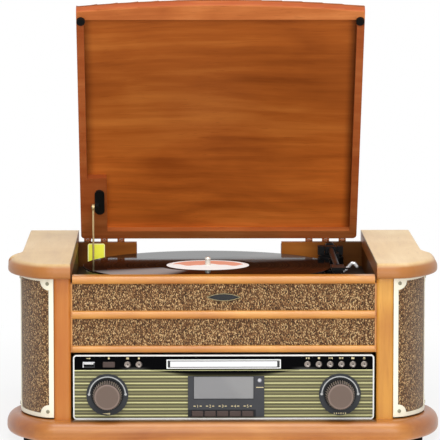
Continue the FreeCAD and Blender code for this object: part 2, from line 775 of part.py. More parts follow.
rotary = []
for side in sides:
    case = block(side * knob_x - 8, side * knob_x + 8, y_switch, y_switch + 8, z_knob - 8, z_knob + 8)
    rotary.append(cut(case, shaft_way(side)))
x_main0, x_main1 = open_half * -0.84, open_half * -0.11
y_main0, y_main1 = y_back - depth * 0.415, y_back - depth * 0.105
pillars = [rod("z", x, y, z_floor, 3, 9)
           for x in (x_main0 + 6, x_main1 - 6) for y in (y_main0 + 6, y_main1 - 6)]
main_board = fuse(block(x_main0, x_main1, y_main0, y_main1, z_floor + 8, z_floor + 9.6), *pillars)
x_core, y_core = open_half * 0.42, y_back - depth * 0.26
core_half, core_height = open_half * 0.17, d.stile_height * 0.25
core = block(x_core - core_half, x_core + core_half, y_core - 25, y_core + 25, z_floor, z_floor + core_height)
winding = block(x_core - core_half * 0.67, x_core + core_half * 0.67, y_core - 33, y_core + 33,
                z_floor + core_height * 0.2, z_floor + core_height * 0.8)
node("electronics", group(cut(control_board, usb_way, shaft_way(1), shaft_way(-1)), *rotary, main_board,
                          fuse(core, winding)))

# Hinge blocks, hinges and the sticker.
z_axis = z_block + d.hinge_rise
block_span = (y_block, y_leaf, z_deck, z_block)
node("hinge_blocks", group(block(-open_half, -block_left, *block_span),
                           block(block_right, open_half, *block_span)))
sticker = round_rectangle(11.5 - open_half, 33 - open_half, z_deck + 3, z_block - 1.5, 2.5)
node("blank_sticker", prism("XZ", sticker, y_block - 0.3, y_block))

hinges = (d.hinge_left_inset - open_half, open_half - d.hinge_right_inset)
z_rim = z_axis + d.hinge_rise
between = (d.hinge_length - 3 * d.knuckle) / 2


# One leaf: a plate, the tabs that reach the pin and their knuckles.
def hinge_leaf(centre, spans, plate0, plate1, tab0, tab1):
    start = centre - d.hinge_length / 2
    plate = block(start, start + d.hinge_length, y_leaf, y_leaf + d.leaf_thick, plate0, plate1)
    parts = [plate]
    for low, high in spans:
        parts.append(block(start + low, start + high, y_leaf, y_leaf + d.leaf_thick, tab0, tab1))
        parts.append(rod("x", start + low, y_axis, z_axis, d.barrel_radius, high - low))
    pin_hole = rod("x", start - 1, y_axis, z_axis, d.pin_radius + d.run_clear, d.hinge_length + 2)
    return cut(fuse(*parts), pin_hole)


step = d.knuckle + between
third = d.knuckle / 3
plate_gap = d.barrel_radius + 0.3
body_spans = [(i * step + third + 0.2, i * step + third * 2 - 0.2) for i in range(3)]
lid_spans = [(i * step + low, i * step + low + third) for i in range(3) for low in (0, third * 2)]
body_leaves = [hinge_leaf(x, body_spans, z_block - d.leaf_height, z_axis - plate_gap, z_axis - plate_gap - 0.2,
                          z_axis) for x in hinges]
pins = [rod("x", x - d.hinge_length / 2 + i * step, y_axis, z_axis, d.pin_radius, d.knuckle)
        for x in hinges for i in range(3)]
node("cabinet_hinge_leaves", group(*body_leaves, *pins))

# Lid, drawn closed and turned open about the hinge pins.
lid_pieces = []


def lid_node(name, obj):
    lid_pieces.append(obj)
    return node(name, obj)


z_panel = z_rim + d.lid_recess
z_lid = z_panel + d.lid_panel
x_left, x_right = -lid_half - d.lid_shift, lid_half - d.lid_shift
c = d.lid_corner
y_lid = y_leaf
y_front = y_stile - d.lid_over
bow = (lid_half * lid_half + d.lid_bow * d.lid_bow) / (2 * d.lid_bow)
y_inner = y_front + d.lid_front
y_rim = y_lid - d.lid_rear
front_edge = [(x_left, y_front, bow, "ccw"), (x_right, y_front)]
rear_edge = [(x_right, y_lid - c, c, "ccw"), (x_right - c, y_lid), (x_left + c, y_lid, c, "ccw"),
             (x_left, y_lid - c)]
panel = prism("XY", front_edge + rear_edge, z_panel, z_lid)
lid_node("lid_panel", rounded(panel, d.lid_panel * 0.6, lambda e: flat(e, "z", z_lid)))
strip = prism("XY", front_edge + [(x_right, y_inner), (x_left, y_inner)], z_rim, z_panel)
rounded(strip, d.lid_recess * 0.3, lambda e: flat(e, "z", z_rim) and e.BoundBox.YMax < num(y_front) + 0.01)
rear_strip = prism("XY", [(x_left, y_rim), (x_right, y_rim)] + rear_edge, z_rim, z_panel)
side_strips = [block(x, x + d.lid_side, y_inner, y_rim, z_rim, z_panel)
               for x in (x_left, x_right - d.lid_side)]
corner = block(x_left + d.lid_side, x_left + d.stay_block, y_lid - d.stay_block_length, y_rim, z_rim, z_panel)
lid_node("lid_frame", group(strip, rear_strip, *side_strips, corner))
bumper_height = z_rim - z_front - 0.1
bumper_x = lid_half - d.bumper_radius - 0.5
bumpers = [rod("z", side * bumper_x - d.lid_shift, y_inner + 1, z_rim - bumper_height, d.bumper_radius,
               bumper_height) for side in sides]
lid_node("lid_bumpers", group(*bumpers))
lid_leaves = [hinge_leaf(x, lid_spans, z_axis + plate_gap, z_rim + d.leaf_height, z_axis,
                         z_axis + plate_gap + 0.2) for x in hinges]
lid_node("lid_hinge_leaves", group(*lid_leaves))

# Stay: bracket on the lid's corner block, a rod that hangs from it and a guide on the deck.
y_stay, z_stay = y_axis - d.stay_arm, z_rim - d.stay_drop
x_eye = x_left + d.stay_inset
bracket_x0, bracket_x1 = x_eye + 2, x_eye + 14
bracket_y0 = y_lid - 77
plate_edge = round_rectangle(bracket_x0, bracket_x1, bracket_y0, bracket_y0 + 37, 5.9)
plate = prism("XY", plate_edge, z_rim - 2.5, z_rim)
lug = block(bracket_x0, bracket_x0 + 5, y_stay - 4, y_stay + 4, z_stay - 3, z_rim - 2)
eye_pin = rod("x", x_eye - 2.5, y_stay, z_stay, 1.5, 6)
lid_node("stay_bracket", fuse(plate, lug, eye_pin))
hinge_pose = FreeCAD.Placement(Vector(), FreeCAD.Rotation(Vector(1, 0, 0), -open_angle),
                               Vector(0, num(y_axis), num(z_axis)))

turn = math.radians(open_angle)
y_hang = y_axis - d.stay_arm * math.cos(turn) + (z_stay - z_axis) * math.sin(turn)
z_hang = z_axis + d.stay_arm * math.sin(turn) + (z_stay - z_axis) * math.cos(turn)
z_under_deck = z_deck - d.deck_thick
z_hook = z_under_deck - d.stay_radius - 0.3
eye = rod("x", x_eye - 1.6, y_hang, z_hang, 4, 3.2)
stem = rod("z", x_eye, y_hang, z_hook, d.stay_radius, z_hang - z_hook - 2.5)
hook = rod("x", x_eye - 6, y_hang, z_hook, d.stay_radius, 12)
eye_hole = rod("x", x_eye - 4, y_hang, z_hang, 1.5 + d.run_clear, 8)
node("stay_rod", cut(fuse(eye, stem, hook), eye_hole))

reach = d.stay_radius + d.stay_clear
slot = (x_eye - reach, x_eye + reach, y_stay - reach, y_hang + reach)
guide = block(x_eye - 8, x_eye + 8, y_stay - 9, y_hang + 9, z_deck, z_deck + 1.5)
node("stay_guide", cut(guide, block(*slot, z_deck - 1, z_deck + 3)))

# Turntable deck with its bearing, platter, record, motor and belt.
x_disc, y_disc = -d.record_x, y_stile + before_record + d.record_radius
platter_radius = d.record_radius - d.platter_inset
motor_reach = platter_radius + d.motor_gap
motor_turn = math.radians(motor_angle)
x_motor = x_disc + motor_reach * math.cos(motor_turn)
y_motor = y_disc + motor_reach * math.sin(motor_turn)
deck = block(-open_half, open_half, y_board_rear, y_cover, z_under_deck, z_deck)
bearing = rod("z", x_disc, y_disc, z_under_deck - 14, 8, 15)
bearing_hole = rod("z", x_disc, y_disc, z_under_deck - 20, d.spindle_radius + d.run_clear, 40)
motor_way = rod("z", x_motor, y_motor, z_under_deck - 1, 3, d.deck_thick + 2)
deck_slot = block(*slot, z_under_deck - 1, z_deck + 1)
node("deck_plate", cut(fuse(deck, bearing), bearing_hole, motor_way, deck_slot))

z_platter = z_deck + d.platter_lift
z_record = z_platter + d.platter_thick
platter = prism("XY", (x_disc, y_disc, platter_radius), z_platter, z_record)
rounded(platter, 1.2, lambda e: flat(e, "z", z_record))
hub = rod("z", x_disc, y_disc, z_deck + 0.4, 12, d.platter_lift)
z_spindle = z_record + d.record_thick + d.spindle_rise
spindle = prism("XY", (x_disc, y_disc, d.spindle_radius), z_under_deck - 12, z_spindle)
rounded(spindle, d.spindle_radius * 0.6, lambda e: e.BoundBox.ZMin > num(z_record))
node("platter", fuse(platter, hub, spindle))
disc = prism("XY", (x_disc, y_disc, d.record_radius), z_record, z_record + d.record_thick)
rounded(disc, d.record_thick * 0.35, lambda e: e.BoundBox.XLength > 100)
node("record", cut(disc, rod("z", x_disc, y_disc, z_record - 1, d.spindle_radius + 0.05, 5)))

motor = rod("z", x_motor, y_motor, z_under_deck - 30, d.motor_radius, 30)
shaft_hole = rod("z", x_motor, y_motor, z_under_deck - 25, 1.2 + d.run_clear, 40)
pulley = fuse(rod("z", x_motor, y_motor, z_platter + 1, d.pulley_radius, 9),
              rod("z", x_motor, y_motor, z_under_deck - 20, 1.2, z_platter - z_under_deck + 22))
node("motor_pulley", pulley)


# Area swept by a loop around the platter and the pulley at a given distance from both.
def loop_solid(distance, low, high):
    r1, r2 = num(platter_radius) + distance, num(d.pulley_radius) + distance
    c1 = Vector(num(x_disc), num(y_disc), low)
    c2 = Vector(num(x_motor), num(y_motor), low)
    along = (c2 - c1).normalize()
    across = Vector(-along.y, along.x, 0)
    lean = (r1 - r2) / (c2 - c1).Length
    lift = math.sqrt(1 - lean ** 2)
    ways = [along * lean + across * lift, along * lean - across * lift]
    corners = [c1 + ways[0] * r1, c2 + ways[0] * r2, c2 + ways[1] * r2, c1 + ways[1] * r1]
    wire = Part.Wire([Part.makeLine(corners[0], corners[1]),
                      Part.Arc(corners[1], c2 + along * r2, corners[2]).toShape(),
                      Part.makeLine(corners[2], corners[3]),
                      Part.Arc(corners[3], c1 - along * r1, corners[0]).toShape()])
    return Part.Face(wire).extrude(Vector(0, 0, high - low))


belt = doc.addObject("Part::Feature", "belt")
near, far = num(d.belt_gap), num(d.belt_gap + d.belt_thick)
low = num(z_platter) + 3
belt.Shape = loop_solid(far, low, low + 4).cut(loop_solid(near, low - 1, low + 5))
node("turntable_drive", group(cut(motor, shaft_hole), belt))

# Tone arm: post, swinging yoke and the arm that tips in it.
x_arm, y_arm = open_half - d.arm_inset, y_block - d.arm_setback
arm_length = d.record_radius + d.arm_over
z_arm = z_record + d.record_thick + d.arm_rise
z_post = z_arm - d.arm_post_drop
post = prism("XY", (x_arm, y_arm, d.arm_base_radius), z_deck, z_post)
rounded(post, 1.5, lambda e: flat(e, "z", z_post))
post_hole = rod("z", x_arm, y_arm, z_deck + 3, 4 + d.run_clear, 40)
y_lever, z_lever = y_arm - d.lever_reach, z_deck + d.lever_rise
plate_half = d.arm_base_radius * 0.6
rest_y = y_arm - arm_length * 0.35
base_plate = prism("XY", round_rectangle(x_arm - plate_half, x_arm + plate_half, rest_y - 6, y_arm, 2),
                   z_deck, z_lever + d.lever_rise + 1)
rounded(base_plate, 1, lambda e: e.BoundBox.ZMin > num(z_lever))
lever_hole = rod("x", x_arm + 4, y_lever, z_lever, d.lever_radius + d.run_clear, 20)
rest_post = rod("z", x_arm, rest_y, z_deck, 4, z_arm - z_deck - d.arm_radius - 2)
rest_seat = block(x_arm - 5, x_arm + 7.5, rest_y - 3, rest_y + 3, z_arm - d.arm_radius - 2.6,
                  z_arm - d.arm_radius - 0.4)
rest_stop = block(x_arm + d.arm_radius + 0.6, x_arm + 7.5, rest_y - 3, rest_y + 3, z_arm - d.arm_radius - 1,
                  z_arm + 3)
stand = fuse(post, base_plate, rest_post, rest_seat, rest_stop)
node("tonearm_base", cut(stand, post_hole, lever_hole))

yoke_foot = rod("z", x_arm, y_arm, z_post + 0.4, d.arm_base_radius - 2, 2.6)
yoke_shaft = rod("z", x_arm, y_arm, z_deck + 4, 4, z_post - z_deck - 2)
cheeks = [block(x_arm + low, x_arm + high, y_arm - 8, y_arm + 8, z_post + 2, z_arm + 5)
          for low, high in ((-16, -8), (8, 15))]
yoke_holes = rod("x", x_arm - 12, y_arm, z_arm, 1.5 + d.run_clear, 24)
node("tonearm_yoke", cut(fuse(yoke_foot, yoke_shaft, *cheeks), yoke_holes))

y_head = y_arm - arm_length
y_tail = y_arm + d.arm_base_radius + 1
tube = fuse(rod("y", x_arm, y_head + 4, z_arm, d.arm_radius, y_tail - y_head - 4),
            rod("x", x_arm - 11.5, y_arm, z_arm, 1.5, 23),
            block(x_arm - 7, x_arm + 7, y_arm - 8, y_arm + 8, z_arm - 4.5, z_arm + 4.5))
weight = rod("y", x_arm, y_tail, z_arm, 6.5, 15)
shell = fuse(block(x_arm - 8, x_arm + 8, y_head - 30, y_head + 4, z_arm - 1, z_arm + 2.5),
             block(x_arm - 6, x_arm + 6, y_head - 27, y_head - 7, z_arm - 4.6, z_arm - 0.5),
             block(x_arm + 7, x_arm + 14, y_head - 24, y_head - 20, z_arm, z_arm + 1.5))
node("tonearm", group(tube, weight, shell))

lever_start = Vector(num(x_arm), num(y_lever), num(z_lever))
lever_bends = ((5, 0, 0), (11, 0, 0), (17, -1, 4), (24, -2, 11.5), (27, -2.5, 11.3), (30, -3, 7.5))
lever_points = [lever_start + Vector(*bend) for bend in lever_bends]
lever_radius = num(d.lever_radius)
lever = Part.makeSphere(lever_radius, lever_points[-1])
for start, end in zip(lever_points, lever_points[1:]):
    lever = lever.fuse(Part.makeCylinder(lever_radius, (end - start).Length, start, end - start))
for bend in lever_points[1:-1]:
    lever = lever.fuse(Part.makeSphere(lever_radius, bend))
cue = doc.addObject("Part::Feature", "cue")
cue.Shape = lever
node("cue_lever", cue)

doc.recompute()
for piece in lid_pieces:
    piece.Placement = hinge_pose.multiply(piece.Placement)
doc.recompute()

for obj in doc.Objects:
    if "Invalid" in obj.State or "Error" in obj.State:
        raise RuntimeError(f"{obj.Name} ({obj.Label}) did not compute: {obj.State}")
os.makedirs("parts", exist_ok=True)
for obj in nodes:
    if obj.Shape.isNull() or not obj.Shape.isValid():
        raise RuntimeError(f"{obj.Label} has no valid shape")
    obj.Shape.exportStep(f"parts/{obj.Label}.step")
    print(obj.Label, len(obj.Shape.Solids), round(obj.Shape.Volume))
print(len(nodes), "nodes")
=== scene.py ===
import math

import bpy
from mathutils import Matrix, Vector


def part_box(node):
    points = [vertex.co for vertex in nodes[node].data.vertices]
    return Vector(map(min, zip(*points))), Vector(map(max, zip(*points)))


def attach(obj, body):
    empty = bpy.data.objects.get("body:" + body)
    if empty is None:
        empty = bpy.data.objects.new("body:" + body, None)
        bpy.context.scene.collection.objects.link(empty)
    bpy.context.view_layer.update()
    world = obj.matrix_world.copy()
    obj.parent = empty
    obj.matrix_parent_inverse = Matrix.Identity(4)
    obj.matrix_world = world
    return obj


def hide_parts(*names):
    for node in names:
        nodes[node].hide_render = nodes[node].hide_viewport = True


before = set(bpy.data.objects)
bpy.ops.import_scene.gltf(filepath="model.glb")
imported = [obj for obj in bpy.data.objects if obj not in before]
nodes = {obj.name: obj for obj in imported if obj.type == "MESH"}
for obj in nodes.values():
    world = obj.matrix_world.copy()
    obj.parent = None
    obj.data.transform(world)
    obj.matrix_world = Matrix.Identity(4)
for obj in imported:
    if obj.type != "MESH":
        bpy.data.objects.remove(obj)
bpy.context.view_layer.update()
scene = bpy.context.scene
scene.tool_settings.mesh_select_mode = (False, False, True)
print("frame loaded:", len(nodes), "nodes")


def middle(name):
    low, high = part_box(name)
    return (low + high) / 2


# colours are written as on screen and turned into light values
def tint(red, green, blue):
    light = []
    for part in (red, green, blue):
        share = part / 255
        light.append(share / 12.92 if share <= 0.04045 else ((share + 0.055) / 1.055) ** 2.4)
    return (*light, 1.0)


# the same colour, darker or lighter
def scaled(colour, share):
    return tuple(min(1.0, part * share) for part in colour[:3]) + (1.0,)


# a method that works out two values by a Math node, or the other way round for its reflected form
def worked(operation, turned=False):
    def run(self, other):
        return self.calc(operation, other, self) if turned else self.calc(operation, self, other)
    return run


# a socket that can be added, multiplied and compared
class Wire:
    def __init__(self, tree, socket):
        self.tree, self.socket = tree, socket

    def calc(self, operation, first, second=0.0):
        made = self.tree.nodes.new("ShaderNodeMath")
        made.operation = operation
        for socket, value in zip(made.inputs, (first, second)):
            plug(self.tree, socket, value)
        return Wire(self.tree, made.outputs[0])

    __add__, __radd__ = worked("ADD"), worked("ADD", True)
    __sub__, __rsub__ = worked("SUBTRACT"), worked("SUBTRACT", True)
    __mul__, __rmul__ = worked("MULTIPLY"), worked("MULTIPLY", True)
    __truediv__, __rtruediv__ = worked("DIVIDE"), worked("DIVIDE", True)
    __pow__, __rpow__ = worked("POWER"), worked("POWER", True)
    __gt__, __lt__ = worked("GREATER_THAN"), worked("LESS_THAN")
    either = worked("MAXIMUM")

    def __abs__(self):
        return self.calc("ABSOLUTE", self)

    def sine(self):
        return self.calc("SINE", self)


def plug(tree, socket, value):
    if isinstance(value, Wire):
        tree.links.new(value.socket, socket)
    else:
        socket.default_value = value


class Finish:
    def __init__(self, name, fixed):
        self.material = bpy.data.materials.new(name)
        self.material.use_nodes = True
        self.tree = self.material.node_tree
        self.shader = self.tree.nodes["Principled BSDF"]
        for socket, value in fixed.items():
            self.shader.inputs[socket].default_value = value
        self.at = self.node("TexCoord", output="Object")

    # any node: its type, its settings, then its sockets
    def node(self, kind, settings=None, sockets=None, output=0):
        made = self.tree.nodes.new("ShaderNode" + kind)
        for key, value in (settings or {}).items():
            if key == "stops":
                ramp = made.color_ramp
                while len(ramp.elements) < len(value):
                    ramp.elements.new(1.0)
                for element, (place, colour) in zip(ramp.elements, value):
                    element.position, element.color = place, colour
            else:
                setattr(made, key, value)
        for key, value in (sockets or {}).items():
            plug(self.tree, made.inputs[key], value)
        return Wire(self.tree, made.outputs[output])

    def axes(self, vector=None):
        made = self.tree.nodes.new("ShaderNodeSeparateXYZ")
        plug(self.tree, made.inputs[0], vector or self.at)
        return [Wire(self.tree, socket) for socket in made.outputs]

    def noise(self, scale, detail=4.0, rough=0.55, twist=0.0, vector=None):
        spot = self.node("Mapping", sockets={"Vector": vector or self.at, "Scale": scale})
        return self.node("TexNoise", sockets={"Vector": spot, "Scale": 1.0, "Detail": detail,
                                              "Roughness": rough, "Distortion": twist})

    # noise of one scale in all directions
    def speckle(self, scale, detail):
        return self.noise((scale,) * 3, detail)

    def mix(self, share, first, second):
        return self.node("Mix", {"data_type": "RGBA"}, {0: share, 6: first, 7: second}, 2)

    def step(self, value, low, high):
        return self.node("MapRange", {"interpolation_type": "SMOOTHSTEP"},
                         {"Value": value, "From Min": low, "From Max": high})

    def length(self, first, second):
        return (first * first + second * second) ** 0.5

    def bump(self, height, distance, strength):
        made = self.node("Bump", sockets={"Height": height, "Distance": distance, "Strength": strength})
        self.feed("Normal", made)

    def feed(self, socket, value):
        plug(self.tree, self.shader.inputs[socket], value)

    # a clouded colour with another where a mask says, and a gloss that follows the clouds
    def clouded(self, look, mask, rough):
        cloud = self.speckle(look["clouds"], 3.0)
        self.feed("Base Color", self.mix(mask, self.mix(cloud, look["low"], look["high"]), look["other"]))
        self.feed("Roughness", rough + (cloud - 0.5) * 0.1)

    def wear(self, *names):
        for name in names:
            slots = nodes[name].data.materials
            slots.clear()
            slots.append(self.material)


# layers of grain: their scale across and along it, then detail, roughness and twist
grainLook = {"streak": ((1, 1), (6.0, 0.6, 0.3)), "cloud": ((0.2, 1.6), (3.0, 0.5, 0.6)),
             "pore": ((11, 8), (2.0, 0.5, 0.0)), "poreEdge": (0.6, 0.78), "gloss": 0.15, "relief": (0.0001, 0.25)}


# wood: swaying streaks, soft clouds and fine pores along one axis under a clear lacquer
def woodFinish(name, look):
    f = Finish(name, {"Coat Weight": look["coat"], "Coat Roughness": look["coatRough"],
                      "Specular IOR Level": look["shine"]})
    drift = f.node("TexNoise", sockets={"Vector": f.at, "Scale": look["swayScale"], "Detail": 2.0},
                   output="Color")
    bent = f.node("VectorMath", {"operation": "MULTIPLY_ADD"}, {0: drift, 1: (look["sway"],) * 3, 2: f.at})
    longScale, shortScale = look["scale"]

    def layer(kind):
        (across, along), settings = grainLook[kind]
        scale = tuple(longScale * along if axis == look["grain"] else shortScale * across for axis in "XYZ")
        return f.noise(scale, *settings, bent)

    streak, cloud, pore = layer("streak"), layer("cloud"), layer("pore")
    tone = streak * 0.5 + cloud * 0.5
    spread = look["spread"]
    colour = f.node("ValToRGB", {"stops": [(0.5 - spread, look["deep"]), (0.5, look["middle"]),
                                           (0.5 + spread, look["pale"])]}, {"Fac": tone})
    colour = f.mix(f.step(pore, *grainLook["poreEdge"]) * look["pores"], colour, look["poreTint"])
    # painted light: a look may scale its colour up or down where light or shade falls
    if "paintedLight" in look:
        colour = f.node("VectorMath", {"operation": "SCALE"}, {0: colour, "Scale": 1 + look["paintedLight"](f)})
    # a look may mix in a darker tint, both for real stains and for painted shade
    if "stainAndShade" in look:
        colour = f.mix(look["stainAndShade"](f), colour, look["stainAndShadeTint"])
    f.feed("Base Color", colour)
    f.feed("Roughness", look["rough"] + (streak - 0.5) * grainLook["gloss"])
    f.bump(streak * 0.4 + pore * 0.6, *grainLook["relief"])
    return f


# from nothing to one between two depths under a level
def deepening(f, level, depths):
    return f.step(f.axes()[2], level - depths[0], level - depths[1])


cabinetLook = {"grain": "X", "scale": (6, 80), "deep": tint(176, 104, 34), "middle": tint(204, 135, 52),
               "pale": tint(226, 162, 76), "spread": 0.18, "pores": 0.25, "poreTint": tint(148, 76, 24),
               "sway": 0.02, "swayScale": 5.0, "rough": 0.4, "coat": 0.6, "coatRough": 0.3, "shine": 0.4}
woodFinish("railWood", cabinetLook).wear("front_frame")
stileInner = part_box("front_frame")[1].x
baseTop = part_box("base_board")[1].z


# painted shadow darkens the base board in the joint under the fascia, and painted light makes it paler under its
# nose
def basePaintedLight(f):
    x, y, z = f.axes()
    joint = f.step(y, *baseLook["joint"]) * (abs(x) < stileInner) * (z > baseTop - baseLook["jointDeep"])
    return deepening(f, baseTop, baseLook["nose"]) * baseLook["noseLit"] - joint * baseLook["jointShade"]


# it is redder towards its foot and its corners
def baseStain(f):
    foot = deepening(f, baseTop, baseLook["foot"]) * baseLook["footRed"]
    return foot.either(f.step(abs(f.axes()[0]), *baseLook["corner"]) * baseLook["cornerRed"])


baseLook = {**cabinetLook, "deep": tint(160, 92, 34), "middle": tint(186, 118, 50), "pale": tint(206, 140, 68),
            "joint": (-0.1835, -0.1765), "jointDeep": 0.006, "jointShade": 0.8, "nose": (0.013, 0.023),
            "noseLit": 0.45, "foot": (0.003, 0.018), "footRed": 0.3, "corner": (0.19, 0.245), "cornerRed": 0.5,
            "stainAndShadeTint": tint(136, 58, 16), "stainAndShade": baseStain, "paintedLight": basePaintedLight, "coat": 0.4, "shine": 0.35}
woodFinish("baseWood", baseLook).wear("base_board")

# the left stile is redder
stileLook = {**cabinetLook, "grain": "Z", "deep": tint(186, 118, 40), "middle": tint(211, 147, 57),
             "pale": tint(232, 172, 78), "coat": 0.3, "shine": 0.3, "leftRed": 0.5, "stainAndShadeTint": tint(172, 62, 9),
             "stainAndShade": lambda f: (f.axes()[0] < 0) * stileLook["leftRed"]}
woodFinish("stileWood", stileLook).wear("stiles")
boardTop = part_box("top_boards")[1].z


# painted light: the right board is a little paler, and painted shade darkens both where they face the turntable
def topPaintedLight(f):
    x = f.axes()[0]
    inner = abs(x) < stileInner + topLook["innerSkin"]
    return (x > 0) * topLook["rightLit"] - topLook["bothDark"] - inner * topLook["innerShade"]


# the boards' pale colour is a painted sheen, and their noses darken downwards as painted shade
topLook = {**cabinetLook, "grain": "Y", "deep": tint(214, 174, 117), "middle": tint(228, 193, 137),
           "pale": tint(240, 210, 161), "coat": 0.2, "coatRough": 0.4, "shine": 0.25, "rightLit": 0.13,
           "bothDark": 0.065, "innerSkin": 0.0006, "innerShade": 0.6, "nose": (0.0001, 0.005), "noseShade": 0.92,
           "paintedLight": topPaintedLight, "stainAndShadeTint": tint(168, 100, 38),
           "stainAndShade": lambda f: deepening(f, boardTop, topLook["nose"]) * topLook["noseShade"]}
woodFinish("topWood", topLook).wear("top_boards")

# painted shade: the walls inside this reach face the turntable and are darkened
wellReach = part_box("stiles")[1].x
sideLook = {**cabinetLook, "grain": "Y", "deep": tint(170, 100, 38), "middle": tint(194, 122, 48),
            "pale": tint(212, 144, 66), "sway": 0.05, "swayScale": 3.0, "coat": 0.0, "shine": 0.05,
            "wellShade": 0.88, "stainAndShadeTint": tint(44, 18, 6),
            "stainAndShade": lambda f: (abs(f.axes()[0]) < wellReach) * sideLook["wellShade"]}
woodFinish("sideWood", sideLook).wear("pillar_walls")


# painted light and shade: the hinge blocks are paler in the middle, more on the right, and darken towards the
# cabinet's corners
def blockPaintedLight(f):
    x = f.axes()[0]
    inner = f.step(x, *blockLook["rightEnd"]) * f.step(x, *blockLook["leftEnd"])
    return inner * (blockLook["innerLit"] + (x > 0) * blockLook["rightLit"]) - blockLook["cornerShade"]


# their wood is darker than the cabinet's, and partly stands for the shade in the well
blockLook = {**cabinetLook, "deep": tint(122, 66, 18), "middle": tint(146, 84, 26), "pale": tint(166, 102, 38),
             "coat": 0.0, "shine": 0.1, "rightEnd": (0.155, 0.09), "leftEnd": (-0.185, -0.13), "innerLit": 0.87,
             "rightLit": 0.25, "cornerShade": 0.7, "paintedLight": blockPaintedLight}
woodFinish("blockWood", blockLook).wear("hinge_blocks")

# the open lid: its angle, the hinge pins' radius, its middle and half width, and how far its front reaches
lidLow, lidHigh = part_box("lid_panel")
lidPlace = {"turn": math.radians(58.6), "pin": 0.0018, "middle": (lidLow.x + lidHigh.x) / 2,
            "half": (lidHigh.x - lidLow.x) / 2, "reach": 0.3471, "bow": 0.0092, "skin": (-0.002, -0.0002),
            "under": 0.011}
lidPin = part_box("cabinet_hinge_leaves")[1] - Vector((0, lidPlace["pin"], lidPlace["pin"]))
lidCosine, lidSine = math.cos(lidPlace["turn"]), math.sin(lidPlace["turn"])


# how far a spot lies from the hinge pins, measured along the open lid
def lidAlong(f):
    x, y, z = f.axes()
    return (lidPin.y - y) * lidCosine + (z - lidPin.z) * lidSine


# the lid's bowed front face, a layer at its far end
def lidFace(f):
    off = (f.axes()[0] - lidPlace["middle"]) / lidPlace["half"]
    return f.step(lidAlong(f) - lidPlace["reach"] - (1 - off * off) * lidPlace["bow"], *lidPlace["skin"])


# one on the panel's underside, nothing on its outer side
def lidUnder(f):
    x, y, z = f.axes()
    return (y - lidPin.y) * lidSine + (z - lidPin.z) * lidCosine < lidPlace["under"]


# painted shade: the underside darkens beside the side strips, more on the right, and the front face is darker too
def lidPaintedShade(f):
    x = f.axes()[0]
    side = lidPlace["half"] - abs(x - lidPlace["middle"])
    depth = lidLook["stripShade"] + (x > 0) * lidLook["rightShade"]
    strips = f.step(side, *lidLook["strip"]) * lidUnder(f) * depth
    return (lidFace(f) * lidLook["faceShade"]).either(strips)


# painted light: the underside is paler towards both ends, the outer side evenly pale
def lidPaintedLight(f):
    along = lidAlong(f)
    hinge = f.step(along, *lidLook["hingeEnd"]) ** lidLook["hingeCurve"] * lidLook["hingeLit"]
    ends = hinge + f.step(along, *lidLook["frontEnd"]) * lidLook["frontLit"]
    return lidLook["outerPale"] + (ends - lidLook["outerPale"]) * lidUnder(f)


lidLook = {**cabinetLook, "scale": (3, 70), "deep": tint(132, 64, 20), "middle": tint(162, 85, 30),
           "pale": tint(188, 110, 46), "poreTint": tint(112, 50, 14), "spread": 0.17, "sway": 0.05,
           "swayScale": 2.6, "pores": 0.4, "coat": 0.0, "shine": 0.15, "strip": (0.021, 0.009), "stripShade": 0.4,
           "rightShade": 0.3, "faceShade": 0.4, "hingeEnd": (0.36, 0.0), "hingeCurve": 3.0, "hingeLit": 1.08,
           "frontEnd": (0.22, 0.34), "frontLit": 0.2, "outerPale": 0.45, "stainAndShadeTint": tint(64, 28, 8),
           "stainAndShade": lidPaintedShade, "paintedLight": lidPaintedLight}
woodFinish("lidWood", lidLook).wear("lid_panel")


# the lid's strips are redder away from the hinges and on the front face
def edgeStain(f):
    run = f.step(lidAlong(f), *edgeLook["run"]) * (lidAlong(f) < edgeLook["runEnd"]) * edgeLook["runRed"]
    return (lidFace(f) * edgeLook["faceRed"]).either(run)


# painted light: the strips are paler on the front face and near the hinges
def edgePaintedLight(f):
    front = f.step(lidAlong(f), *edgeLook["front"]) * edgeLook["frontLit"]
    return front + f.step(lidAlong(f), *edgeLook["hinge"]) * edgeLook["hingeLit"]


edgeLook = {**lidLook, "scale": (6, 80), "sway": 0.02, "deep": tint(156, 82, 38), "middle": tint(178, 102, 52),
            "pale": tint(196, 122, 68), "faceRed": 0.5, "run": (0.0, 0.08), "runEnd": 0.33, "runRed": 0.3,
            "front": (0.326, 0.334), "frontLit": 0.38, "hinge": (0.04, 0.0), "hingeLit": 0.1,
            "stainAndShadeTint": tint(150, 44, 8), "stainAndShade": edgeStain, "paintedLight": edgePaintedLight}
woodFinish("edgeWood", edgeLook).wear("lid_frame")
backLook = {**cabinetLook, "scale": (30, 120), "deep": tint(70, 52, 40), "middle": tint(92, 72, 56),
            "pale": tint(112, 90, 70), "rough": 0.75, "coat": 0.0, "shine": 0.2}
woodFinish("backBoard", backLook).wear("back_panel")
print("wood finishes done")

plasticLook = {"clouds": 35, "specks": 900, "cloudGloss": 0.16, "speckGloss": 0.08, "relief": (0.00004, 0.5)}


# plastic: one colour with slight mottling, fine texture and rubbed gloss
def plasticFinish(name, colour, rough, coat=0.0, metal=0.0, mottle=0.12, shine=0.5):
    f = Finish(name, {"Metallic": metal, "Coat Weight": coat, "Coat Roughness": 0.08,
                      "Specular IOR Level": shine})
    cloud = f.speckle(plasticLook["clouds"], 3.0)
    speck = f.speckle(plasticLook["specks"], 2.0)
    f.feed("Base Color", f.mix(cloud, scaled(colour, 1 - mottle), scaled(colour, 1 + mottle)))
    rubbed = rough + (cloud - 0.5) * plasticLook["cloudGloss"]
    f.feed("Roughness", rubbed + (speck - 0.5) * plasticLook["speckGloss"])
    f.bump(speck, *plasticLook["relief"])
    return f


